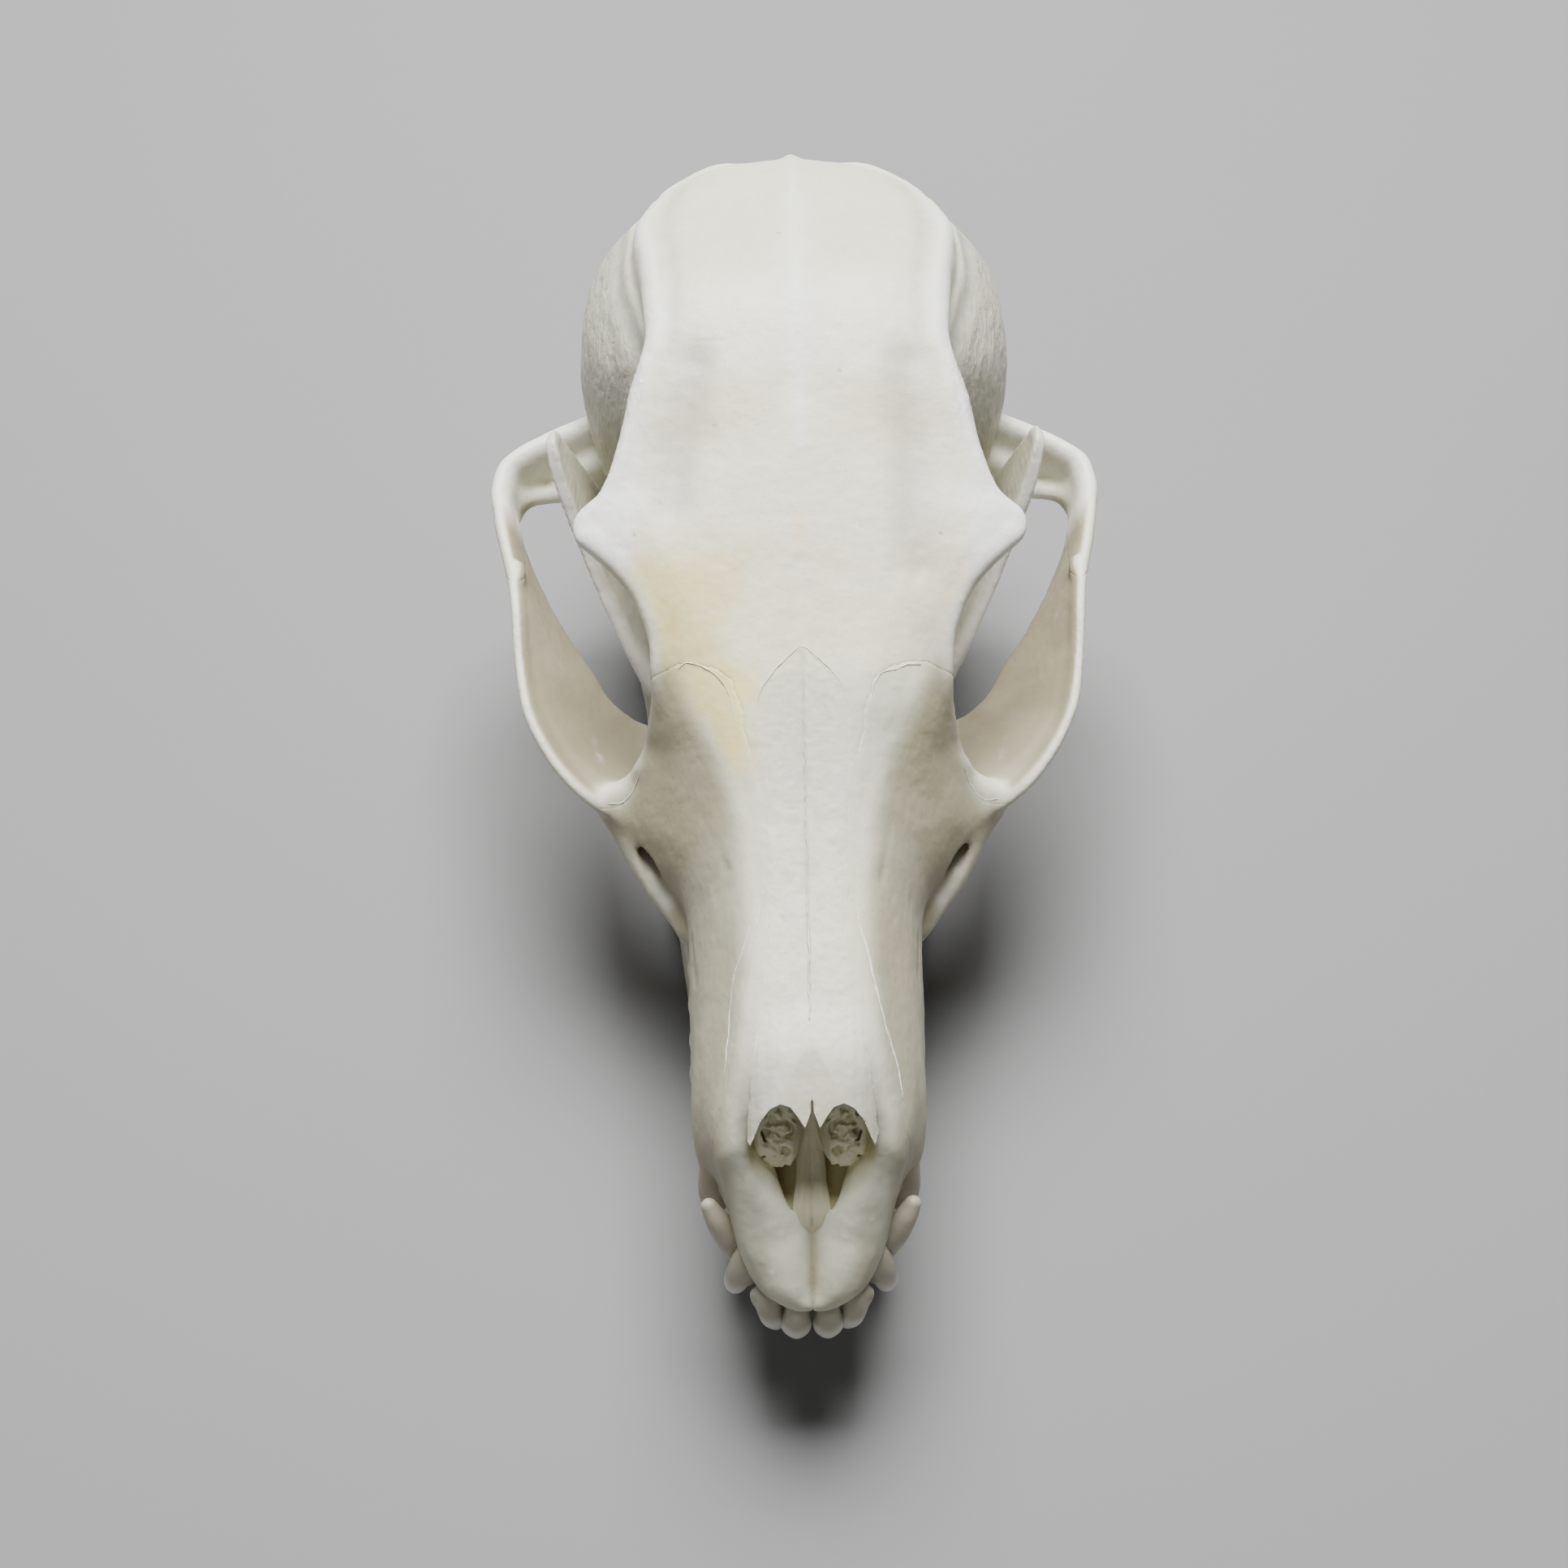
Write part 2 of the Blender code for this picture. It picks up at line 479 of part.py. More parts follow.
def cut_openings(pieces, helpers):
    """The nose, the slits behind the incisors, the throat and the room for the lower canines."""
    nose = ball("nose_hole", (0.0, 12.0, 8.5), (5.2, 12.8, 5.4), helpers, turn=0.1)
    throat = ball("throat_hole", (0.0, 62.0, 5.2), (4.6, 9.0, 2.4), helpers)
    cut(pieces["premaxilla"], nose)
    cut(pieces["muzzle"], nose, throat)
    cut(pieces["forehead"], throat)
    for word, side in SIDES.items():
        slit = ball(f"palate_slit_{word}", (side * 2.3, 9.2, 1.5), (1.1, 3.5, 6.0), helpers)
        room = fang(f"canine_room_{word}", LOWER_CANINE, side, helpers, grow=CLEARANCE)
        for name in ("premaxilla", "muzzle"):
            cut(pieces[name], slit, room)


def bone_material():
    """Old clean bone: ivory, with a low sheen."""
    material = bpy.data.materials.new("bone")
    material.use_nodes = True
    surface = material.node_tree.nodes["Principled BSDF"]
    surface.inputs["Base Color"].default_value = BONE["colour"]
    surface.inputs["Roughness"].default_value = BONE["roughness"]
    surface.inputs["Metallic"].default_value = 0.0
    return material


def main():
    """Clear the scene and model the skull."""
    for obj in list(bpy.data.objects):
        bpy.data.objects.remove(obj)
    parts = bpy.data.collections.new("fox_skull")
    helpers = bpy.data.collections.new("helpers")
    bpy.context.scene.collection.children.link(parts)
    bpy.context.scene.collection.children.link(helpers)
    helpers.hide_render = True

    pieces = {
        "premaxilla": make_premaxilla(parts, helpers),
        "muzzle": make_muzzle(parts, helpers),
        "forehead": make_forehead(parts, helpers),
        "braincase": make_braincase(parts, helpers),
    }
    cut_openings(pieces, helpers)
    for piece in pieces.values():
        thin_out(piece, KEPT_TRIANGLES)
    for word, side in SIDES.items():
        pieces[f"cheek_arch_{word}"] = make_arch(word, side, parts)
        pieces[f"lower_jaw_{word}"] = make_lower_jaw(word, side, parts, helpers)
    bone = bone_material()
    for piece in pieces.values():
        piece.data.materials.append(bone)


main()
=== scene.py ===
import logging
import math
from collections.abc import Iterator
from dataclasses import dataclass, field, replace
from enum import Enum
from functools import reduce
from itertools import product

import bmesh
import bpy
import numpy as np
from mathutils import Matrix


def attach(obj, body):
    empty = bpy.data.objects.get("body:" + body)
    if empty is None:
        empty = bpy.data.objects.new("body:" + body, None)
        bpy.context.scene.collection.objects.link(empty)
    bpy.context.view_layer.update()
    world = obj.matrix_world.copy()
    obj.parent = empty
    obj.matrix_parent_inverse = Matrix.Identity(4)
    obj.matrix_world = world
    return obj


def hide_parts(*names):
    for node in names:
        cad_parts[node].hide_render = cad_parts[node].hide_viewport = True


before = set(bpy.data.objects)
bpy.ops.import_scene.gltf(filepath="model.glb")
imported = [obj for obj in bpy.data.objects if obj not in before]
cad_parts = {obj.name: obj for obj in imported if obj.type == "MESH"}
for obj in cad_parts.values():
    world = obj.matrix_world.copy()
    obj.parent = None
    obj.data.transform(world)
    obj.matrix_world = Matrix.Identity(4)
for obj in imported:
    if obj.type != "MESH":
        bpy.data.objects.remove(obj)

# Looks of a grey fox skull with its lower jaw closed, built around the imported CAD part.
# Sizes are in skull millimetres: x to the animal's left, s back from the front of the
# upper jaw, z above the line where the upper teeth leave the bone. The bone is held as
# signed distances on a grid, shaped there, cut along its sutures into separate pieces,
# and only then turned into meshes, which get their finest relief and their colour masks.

import openvdb as vdb
from mathutils import Euler, Matrix, Vector

Array = np.ndarray
Place = tuple[float, float, float]
Window = tuple[slice, ...]
Knots = tuple[tuple[float, ...], ...]

MM = 0.001  # metres
MIDDLE = 59.475  # the s that stands at y = 0, halfway along the skull
GROUND = -18.0  # the z of the surface that the lower jaw rests on
ARCH_SIDE = 24.0  # beyond this x only the cheek arches lie, behind the eyes
EMPTY = 3.0  # the distance that an empty grid holds
SHARP_ANGLE = 50.0  # degrees; faces that meet at more keep their edge
BODY = "root"
LOG = logging.getLogger("skull")


class Side(Enum):
    """The animal's own sides, with the sign of x on each."""

    LEFT = 1.0
    RIGHT = -1.0

    @property
    def word(self) -> str:
        """The side's name as it stands in piece names."""
        return self.name.lower()


class Mask(Enum):
    """What a point of the bone carries besides its shape; each is an attribute of the mesh."""

    # grey bone, and painted shade on the muzzle's slopes and in troughs
    GREY = "grey"
    WARM = "warm"
    # tan bone, and painted shade on undersides and faces turned from the light
    TAN = "tan"
    # painted shade in pits, creases and the arches' inner faces, and a few dark lines
    DARK = "dark"
    # pale bone, and painted highlights on ridges and upward faces
    PALE = "pale"
    # painted shade in hollows and creases
    HOLLOW = "hollow"
    EDGE = "edge"
    FIBRE = "fibre"


# ---------------------------------------------------------------- curves and distances


def slopes(at: Array, values: Array) -> Array:
    """Slopes at the knots that keep a cubic between them free of overshoot.

    Args:
        at: where the knots are.
        values: what they hold.
    Returns:
        One slope for each knot.
    """
    step = np.diff(at)
    rise = np.diff(values) / step
    found = np.zeros(len(at))
    found[0], found[-1] = rise[0], rise[-1]
    for i in range(1, len(at) - 1):
        if rise[i - 1] * rise[i] > 0:
            near, far = 2 * step[i] + step[i - 1], step[i] + 2 * step[i - 1]
            found[i] = (near + far) / (near / rise[i - 1] + far / rise[i])
    return found


def smooth(knots: Knots, column: int, where: Array) -> Array:
    """A column of the knots, read between them on a smooth curve.

    Args:
        knots: rows whose first number is where the row stands.
        column: which number of the rows to read.
        where: the places to read at.
    Returns:
        The values there.
    """
    at = np.array([knot[0] for knot in knots], float)
    values = np.array([knot[column] for knot in knots], float)
    slope = slopes(at, values)
    where = np.clip(where, at[0], at[-1])
    i = np.clip(np.searchsorted(at, where, side="right") - 1, 0, len(at) - 2)
    step = at[i + 1] - at[i]
    t = (where - at[i]) / step
    return (
        (1 + 2 * t) * (1 - t) ** 2 * values[i]
        + t * (1 - t) ** 2 * step * slope[i]
        + t * t * (3 - 2 * t) * values[i + 1]
        + t * t * (t - 1) * step * slope[i + 1]
    )


def smoothed_path(path: Knots, spacing: float) -> Array:
    """Evenly spaced points on a smooth curve through the rows of a path, all columns kept.

    Args:
        path: rows of numbers, the first three a place.
        spacing: the distance between the points, in millimetres.
    Returns:
        The points, one row each.
    """
    rows = np.array(path, float)
    if len(rows) < 2:
        return rows
    run = np.concatenate([[0.0], np.cumsum(np.linalg.norm(np.diff(rows[:, :3], axis=0), axis=1))])
    knots = tuple(tuple(row) for row in np.column_stack([run, rows]))
    where = np.linspace(0.0, run[-1], max(2, int(run[-1] / spacing) + 1))
    return np.column_stack([smooth(knots, i + 1, where) for i in range(rows.shape[1])])


def rounded(ring: Array, times: int) -> Array:
    """Closed rings with points added between each two, on a smooth curve.

    Args:
        ring: points along the axis before the last; any axes may come before.
        times: how often the number of points is doubled.
    Returns:
        The rings with more points.
    """
    for _ in range(times):
        before, after = np.roll(ring, 1, axis=-2), np.roll(ring, -1, axis=-2)
        beyond = np.roll(ring, -2, axis=-2)
        between = (9 * (ring + after) - before - beyond) / 16
        ring = np.stack([ring, between], axis=-2)
        ring = ring.reshape(*ring.shape[:-3], -1, 3)
    return ring


def polygon_distance(corners: Knots, x: Array, s: Array) -> Array:
    """Distance to a closed outline in plan, negative inside.

    Args:
        corners: its (x, s) corners in order.
        x: where to measure, in a shape that spreads against s.
        s: likewise.
    Returns:
        The distances in millimetres.
    """
    nearest = np.full(np.broadcast_shapes(x.shape, s.shape), 1e9)
    inside = np.zeros(nearest.shape, bool)
    for (ax, ay), (bx, by) in zip(corners, corners[1:] + corners[:1]):
        dx, dy = bx - ax, by - ay
        t = np.clip(((x - ax) * dx + (s - ay) * dy) / max(dx * dx + dy * dy, 1e-9), 0, 1)
        nearest = np.minimum(nearest, (x - ax - t * dx) ** 2 + (s - ay - t * dy) ** 2)
        if ay != by:
            inside ^= ((ay > s) != (by > s)) & (x < dx * (s - ay) / (by - ay) + ax)
    return np.where(inside, -1.0, 1.0) * np.sqrt(nearest)


def path_distance(points: Array, path: Array, reach: float) -> Array:
    """Distance from points to a line through a path, and reach where it is further.

    Args:
        points: one row each.
        path: the line's points, one row each.
        reach: how far to look.
    Returns:
        One distance for each point.
    """
    found = np.full(len(points), reach)
    low, high = path.min(axis=0) - reach, path.max(axis=0) + reach
    near = np.flatnonzero(((points > low) & (points < high)).all(axis=1))
    if len(near) == 0:
        return found
    here = points[near]
    best = np.full(len(near), reach * reach)
    ends = zip(path, path[1:]) if len(path) > 1 else ((path[0], path[0]),)
    for a, b in ends:
        along = b - a
        t = np.clip((here - a) @ along / max(along @ along, 1e-9), 0, 1)
        best = np.minimum(best, ((here - a - t[:, None] * along) ** 2).sum(axis=1))
    found[near] = np.sqrt(best)
    return found


def deepest(*fields: Array) -> Array:
    """Distances to what several regions have in common."""
    return reduce(np.maximum, fields)


def ease(low: float | Array, high: float | Array, values: Array) -> Array:
    """0 below low, 1 above high, and smooth between them."""
    t = np.clip((values - low) / (high - low), 0, 1)
    return t * t * (3 - 2 * t)


def fall(low: float | Array, high: float | Array, values: Array) -> Array:
    """1 below low, 0 above high, and smooth between them."""
    return 1 - ease(low, high, values)


def cell_shares(t: Array) -> Iterator[tuple[tuple[int, ...], Array]]:
    """Each corner of a grid's cell, with its share in a linear reading at t within the cell."""
    for corner in product((0, 1), repeat=3):
        yield corner, math.prod(t[:, axis] if far else 1 - t[:, axis] for axis, far in enumerate(corner))


@dataclass(frozen=True)
class Grain:
    """Random lattice values, smoothed between, for relief and mottling."""

    seed: int
    size: int = 48

    def at(self, points: Array, scale: Place | float, octaves: int = 1) -> Array:
        """Values about 0, mostly between -1 and 1.

        Args:
            points: places in millimetres, one row each.
            scale: lattice steps for each millimetre, one number or one for each axis.
            octaves: how many finer layers to add, each half as strong.
        Returns:
            One value for each point.
        """
        table = np.random.RandomState(self.seed).uniform(-1, 1, (self.size,) * 3).astype(np.float32)
        where = points * np.array(scale, float)
        total = np.zeros(len(points))
        for octave in range(octaves):
            p = where * 2.0**octave + 17.3 * octave
            cell = np.floor(p).astype(int)
            t = p - cell
            t = t * t * (3 - 2 * t)
            a, b = cell % self.size, (cell + 1) % self.size
            layer = 0.0
            for corner, share in cell_shares(t):
                place = tuple((a, b)[far][:, axis] for axis, far in enumerate(corner))
                layer = layer + share * table[place]
            total += layer * 0.5**octave
        return total


# ---------------------------------------------------------------- solids on a grid


def between(values: Array, where: Array) -> Array:
    """Values of a grid at places given in its own steps, read linearly between its points.

    Args:
        values: the grid, in three axes.
        where: the places, one row each.
    Returns:
        One value for each place.
    """
    cell = np.clip(np.floor(where).astype(int), 0, np.maximum(np.array(values.shape) - 2, 0))
    t = np.clip(where - cell, 0, 1)
    total = np.zeros(len(where))
    for (i, j, k), share in cell_shares(t):
        total += share * values[cell[:, 0] + i, cell[:, 1] + j, cell[:, 2] + k]
    return total


def heights_at(heights: Array, where: Array) -> Array:
    """Heights over a plan at places given in its own steps.

    Args:
        heights: the plan, in two axes, nan where nothing stands.
        where: the places, one row each.
    Returns:
        One height for each place.
    """
    flat = np.repeat(np.nan_to_num(heights)[:, :, None], 2, axis=2)
    return between(flat, np.column_stack([where, np.zeros(len(where))]))


# Limits for finding where faces meet, in the grid's own steps.
CROSSES = 0.12  # a face that passes this near a cell counts as crossing it
NEAR_TOP = 2.4  # how far below the largest distance a face may be and still be the piece's own
PULL = 0.02  # keeps a point from running off where faces are nearly in line
ROUNDS = 5
OVERSTEP = 0.05  # how far a point may leave its cell
REACHED = 0.15  # a point further than this from a face stays where it was


def sharpened(points: Array, parts: list[Array]) -> Array:
    """Points where faces of a cut piece meet, moved onto their common edge within their own cell.

    Args:
        points: places in the grid's own steps, one row each.
        parts: the distances whose largest is the piece's own, in the grid's steps.
    Returns:
        The points, most of them unmoved.
    """
    limit = np.array(parts[0].shape) - 2
    cell = np.clip(np.floor(points + 1e-6).astype(int), 0, limit)
    corners = [
        np.stack([part[cell[:, 0] + i, cell[:, 1] + j, cell[:, 2] + k] for part in parts], axis=1)
        for i, j, k in product((0, 1), repeat=3)
    ]
    low, high = reduce(np.minimum, corners), reduce(np.maximum, corners)
    top = reduce(np.maximum, [corner.max(axis=1) for corner in corners])[:, None]
    on = (low < CROSSES) & (high > -CROSSES) & (high > top - NEAR_TOP)
    chosen = np.flatnonzero(on.sum(axis=1) > 1)
    if len(chosen) == 0:
        return points
    here, on = points[chosen].copy(), on[chosen]
    floor = cell[chosen]
    for _ in range(ROUNDS):
        found = np.stack([between(part, here) for part in parts], axis=1) * on
        slope = np.stack(
            [
                np.stack([between(part, here + d) - between(part, here - d) for d in np.eye(3) * 0.5],
                         axis=1)
                for part in parts
            ],
            axis=1,
        )
        slope *= on[:, :, None]
        square = slope @ slope.transpose(0, 2, 1)
        square += np.eye(len(parts)) * np.where(on, PULL, 1.0)[:, None, :]
        step = slope.transpose(0, 2, 1) @ np.linalg.solve(square, found[:, :, None])
        here = np.clip(here - step[:, :, 0], floor - OVERSTEP, floor + 1 + OVERSTEP)
    left = np.abs(np.stack([between(part, here) for part in parts], axis=1) * on).max(axis=1)
    result = points.copy()
    result[chosen[left < REACHED]] = here[left < REACHED]
    return result


class Volume:
    """A block of bone as signed distances on a regular grid, negative inside."""

    def __init__(self, low: Place, high: Place, voxel: float) -> None:
        """Set up an empty block.

        Args:
            low: its lowest corner.
            high: its highest corner.
            voxel: the grid's step, in millimetres.
        """
        self.voxel = voxel
        self.start = np.floor(np.array(low) / voxel).astype(int)
        count = np.ceil(np.array(high) / voxel).astype(int) - self.start + 1
        self.field = np.full(count, EMPTY, np.float32)

    def window(self, low: Array, high: Array) -> Window:
        """The part of the grid between two corners."""
        first = np.floor(np.asarray(low) / self.voxel).astype(int) - self.start
        last = np.ceil(np.asarray(high) / self.voxel).astype(int) - self.start + 1
        first = np.clip(first, 0, self.field.shape)
        last = np.clip(last, first, self.field.shape)
        return tuple(slice(int(a), int(b)) for a, b in zip(first, last))

    def axes(self, window: Window) -> list[Array]:
        """The coordinates along each side of a window, shaped to spread against each other."""
        lines = []
        for axis, part in enumerate(window):
            line = (np.arange(part.start, part.stop) + self.start[axis]) * self.voxel
            shape = [1, 1, 1]
            shape[axis] = -1
            lines.append(line.reshape(shape).astype(np.float32))
        return lines

    def unite(self, *solids: "Solid", blend: float = 0.0) -> None:
        """Join solids to the bone, with a fillet about as wide as blend."""
        for solid in solids:
            self.combine(solid, blend, np.minimum, 1.0)

    def carve(self, *solids: "Solid", blend: float = 0.0) -> None:
        """Cut solids out of the bone, with an edge rounded about as wide as blend."""
        for solid in solids:
            self.combine(solid, blend, np.maximum, -1.0)

    def add_bar(self, blend: float, *rows: tuple[float, ...], spacing: float = 0.8) -> None:
        """Join a round bar on a smooth curve through rows of (x, s, z, radius)."""
        self.unite(Rod(rows, spacing), blend=blend)

    def cut_bar(self, blend: float, *rows: tuple[float, ...], spacing: float = 0.8) -> None:
        """Cut out such a bar."""
        self.carve(Rod(rows, spacing), blend=blend)

    def combine(self, solid: "Solid", blend: float, pick: np.ufunc, sign: float) -> None:
        """Join or cut one solid.

        Args:
            solid: the shape.
            blend: the width of the fillet or the rounding, in millimetres.
            pick: np.minimum to join, np.maximum to cut.
            sign: 1 to join, -1 to cut.
        """
        pad = blend + 3 * self.voxel
        low, high = solid.box()
        window = self.window(np.array(low) - pad, np.array(high) + pad)
        if any(part.stop <= part.start for part in window):
            return
        here = self.field[window]
        other = sign * solid.sample(self, window, pad)
        result = pick(here, other)
        if blend > 0:
            close = np.maximum(blend - np.abs(here - other), 0) / blend
            result -= sign * close * close * blend / 4
        self.field[window] = result

    def soften(self, times: int = 1) -> None:
        """Average each value with its neighbours, which rounds the sharpest creases."""
        for _ in range(times):
            for axis in range(3):
                moved = np.moveaxis(self.field, axis, 0)
                inner = 0.5 * moved[1:-1] + 0.25 * (moved[2:] + moved[:-2])
                moved[1:-1] = inner

    def mirrored(self) -> "Volume":
        """The whole of a block whose first layer lies on the middle plane."""
        whole = Volume.__new__(Volume)
        whole.voxel = self.voxel
        whole.start = np.array([1 - self.field.shape[0], self.start[1], self.start[2]])
        whole.field = np.concatenate([self.field[:0:-1], self.field])
        return whole

    def coarse(self, spread: float) -> "Volume":
        """A copy at twice the step, with its values averaged over about spread millimetres."""
        copy = Volume.__new__(Volume)
        copy.voxel = 2 * self.voxel
        offset = self.start % 2
        copy.start = (self.start + offset) // 2
        copy.field = self.field[offset[0]::2, offset[1]::2, offset[2]::2].copy()
        reach = max(1, round(spread / copy.voxel))
        for _ in range(2):
            for axis in range(3):
                moved = np.moveaxis(copy.field, axis, 0)
                pad = [(reach + 1, reach), (0, 0), (0, 0)]
                sums = np.cumsum(np.pad(moved, pad, mode="edge"), axis=0, dtype=np.float64)
                moved[:] = (sums[2 * reach + 1:] - sums[:-2 * reach - 1]) / (2 * reach + 1)
        return copy

    def read(self, points: Array) -> Array:
        """The values at points, read between the grid's own."""
        return between(self.field, points / self.voxel - self.start)

    def normals(self, points: Array) -> Array:
        """The way outwards at points, one unit row each."""
        step = self.voxel
        rise = np.stack(
            [self.read(points + move) - self.read(points - move) for move in np.eye(3) * step], axis=1
        )
        return rise / np.maximum(np.linalg.norm(rise, axis=1), 1e-9)[:, None]

    def roof(self, above: float) -> tuple[Array, Array, Array]:
        """The height of the topmost bone over each place in plan.

        Args:
            above: bone lower than this isn't counted.
        Returns:
            The x values, the s values and the heights, with nan where there is none.
        """
        window = tuple(slice(0, n) for n in self.field.shape)
        x, s, z = self.axes(window)
        solid = (self.field < 0) & (z > above)
        top = solid.shape[2] - 1 - np.argmax(solid[:, :, ::-1], axis=2)
        top = np.minimum(top, solid.shape[2] - 2)
        low = np.take_along_axis(self.field, top[:, :, None], axis=2)[:, :, 0]
        high = np.take_along_axis(self.field, top[:, :, None] + 1, axis=2)[:, :, 0]
        height = z[0, 0, top] + self.voxel * low / np.minimum(low - high, -1e-6)
        return x[:, 0, 0], s[0, :, 0], np.where(solid.any(axis=2), height, np.nan)

    def mesh(self, window: Window | None = None, *limits: Array, alone: bool = False) -> "Surface":
        """The surface where the distance is nought.

        Args:
            window: the part of the grid to take, or all of it.
            limits: distances over it to regions that the bone is cut to.
            alone: take the regions by themselves, without the bone, and keep their edges sharp.
        Returns:
            A closed surface.
        """
        window = window or tuple(slice(0, n) for n in self.field.shape)
        shape = [part.stop - part.start for part in window]
        parts = [] if alone else [self.field[window]]
        parts += [np.broadcast_to(limit, shape) for limit in limits]
        values = np.pad(deepest(*parts), 1, constant_values=EMPTY).astype(np.float32)
        grid = vdb.FloatGrid(EMPTY)
        grid.copyFromArray(values, ijk=(0, 0, 0))
        points, quads = grid.convertToQuads(isovalue=0.0)
        places = points.astype(float) - 1
        if alone:
            places = sharpened(places, [part / self.voxel for part in parts])
        cut = None
        if limits and not alone:
            cut = between(np.broadcast_to(deepest(*limits), shape), places)
        first = np.array([part.start for part in window]) + self.start
        return Surface((places + first) * self.voxel, quads.astype(np.int64), cut=cut).largest()


class Solid:
    """A shape that can be joined to a block of bone or cut out of it."""

    def box(self) -> tuple[Array, Array]:
        """Its lowest and highest corners."""
        raise NotImplementedError

    def distance(self, x: Array, s: Array, z: Array) -> Array:
        """Signed distances at places on a grid."""
        raise NotImplementedError

    def sample(self, volume: Volume, window: Window, pad: float) -> Array:
        """Signed distances over a window of a block, true within pad of the surface."""
        return self.distance(*volume.axes(window))


@dataclass(frozen=True)
class Egg(Solid):
    """An egg shape with its own radius along each axis, turned by degrees about x, s and z."""

    centre: Place
    radii: Place
    turn: Place = (0.0, 0.0, 0.0)

    def matrix(self) -> Array:
        """The turn as a matrix whose columns are the egg's own axes."""
        return np.array(Euler([math.radians(a) for a in self.turn]).to_matrix())

    def box(self) -> tuple[Array, Array]:
        """Its lowest and highest corners."""
        reach = np.sqrt(((self.matrix() * np.array(self.radii)) ** 2).sum(axis=1))
        return np.array(self.centre) - reach, np.array(self.centre) + reach

    def distance(self, x: Array, s: Array, z: Array) -> Array:
        """Signed distances, close to true ones near the surface."""
        turn = self.matrix()
        away = (x - self.centre[0], s - self.centre[1], z - self.centre[2])
        near = far = 0.0
        for axis, radius in enumerate(self.radii):
            along = sum(turn[i, axis] * away[i] for i in range(3)) / radius
            near = near + along**2
            far = far + (along / radius) ** 2
        near, far = np.sqrt(near), np.sqrt(far)
        return near * (near - 1) / np.maximum(far, 1e-6)


@dataclass(frozen=True)
class Rod(Solid):
    """A round bar on a smooth curve through rows of (x, s, z, radius)."""

    path: Knots
    spacing: float = 0.8

    def box(self) -> tuple[Array, Array]:
        """Its lowest and highest corners."""
        rows = smoothed_path(self.path, self.spacing)
        return (rows[:, :3] - rows[:, 3:]).min(axis=0), (rows[:, :3] + rows[:, 3:]).max(axis=0)

    def sample(self, volume: Volume, window: Window, pad: float) -> Array:
        """Signed distances over a window of a block."""
        shape = [part.stop - part.start for part in window]
        found = np.full(shape, EMPTY, np.float32)
        first = [part.start for part in window]
        rows = smoothed_path(self.path, self.spacing)
        for a, b in zip(rows, rows[1:]):
            reach = max(a[3], b[3]) + pad
            part = volume.window(np.minimum(a, b)[:3] - reach, np.maximum(a, b)[:3] + reach)
            part = tuple(
                slice(max(p.start, w.start), min(p.stop, w.stop)) for p, w in zip(part, window)
            )
            if any(p.stop <= p.start for p in part):
                continue
            x, s, z = volume.axes(part)
            dx, ds, dz = b[:3] - a[:3]
            t = (x - a[0]) * dx + (s - a[1]) * ds + (z - a[2]) * dz
            t = np.clip(t / max(dx * dx + ds * ds + dz * dz, 1e-9), 0, 1)
            gap = (x - a[0] - t * dx) ** 2 + (s - a[1] - t * ds) ** 2 + (z - a[2] - t * dz) ** 2
            gap = np.sqrt(gap) - (a[3] + t * (b[3] - a[3]))
            inner = tuple(slice(p.start - f, p.stop - f) for p, f in zip(part, first))
            found[inner] = np.minimum(found[inner], gap)
        return found


@dataclass(frozen=True)
class Prism(Solid):
    """An upright prism over (x, s) corners, between two heights."""

    corners: Knots
    low: float
    high: float

    def box(self) -> tuple[Array, Array]:
        """Its lowest and highest corners."""
        plan = np.array(self.corners)
        return np.array([*plan.min(axis=0), self.low]), np.array([*plan.max(axis=0), self.high])

    def distance(self, x: Array, s: Array, z: Array) -> Array:
        """Signed distances, true inside and beside the faces."""
        flat = polygon_distance(self.corners, x[:, :, 0], s[:, :, 0])[:, :, None]
        return deepest(flat, z - self.high, self.low - z)


@dataclass(frozen=True)
class Cast(Solid):
    """A closed surface, filled."""

    points: Array
    triangles: Array

    def box(self) -> tuple[Array, Array]:
        """Its lowest and highest corners."""
        return self.points.min(axis=0), self.points.max(axis=0)

    def sample(self, volume: Volume, window: Window, pad: float) -> Array:
        """Signed distances over a window of a block."""
        transform = vdb.createLinearTransform(voxelSize=volume.voxel)
        grid = vdb.FloatGrid.createLevelSetFromPolygons(
            self.points.astype(np.float32),
            triangles=self.triangles.astype(np.uint32),
            transform=transform,
            halfWidth=EMPTY / volume.voxel,
        )
        found = np.empty([part.stop - part.start for part in window], np.float32)
        grid.copyToArray(found, ijk=[int(p.start + s) for p, s in zip(window, volume.start)])
        return found


def loft(rings: Array) -> Cast:
    """A closed solid through rings of the same number of points.

    Args:
        rings: an array of rings by points by three.
    Returns:
        The solid.
    """
    count, around = rings.shape[:2]
    index = np.arange(count * around).reshape(count, around)
    near, far = index[:-1], index[1:]
    a, b = near.ravel(), np.roll(near, -1, axis=1).ravel()
    c, d = np.roll(far, -1, axis=1).ravel(), far.ravel()
    points = np.concatenate([rings.reshape(-1, 3), rings[[0, -1]].mean(axis=1)])
    start, end = count * around, count * around + 1
    first, last = index[0], index[-1]
    triangles = np.concatenate(
        [
            np.column_stack([a, b, c]),
            np.column_stack([a, c, d]),
            np.column_stack([np.full(around, start), np.roll(first, -1), first]),
            np.column_stack([np.full(around, end), last, np.roll(last, -1)]),
        ]
    )
    corners = points[triangles]
    volume = np.einsum("ij,ij->i", corners[:, 0], np.cross(corners[:, 1], corners[:, 2])).sum()
    return Cast(points, triangles if volume > 0 else triangles[:, ::-1])


# ---------------------------------------------------------------- surfaces


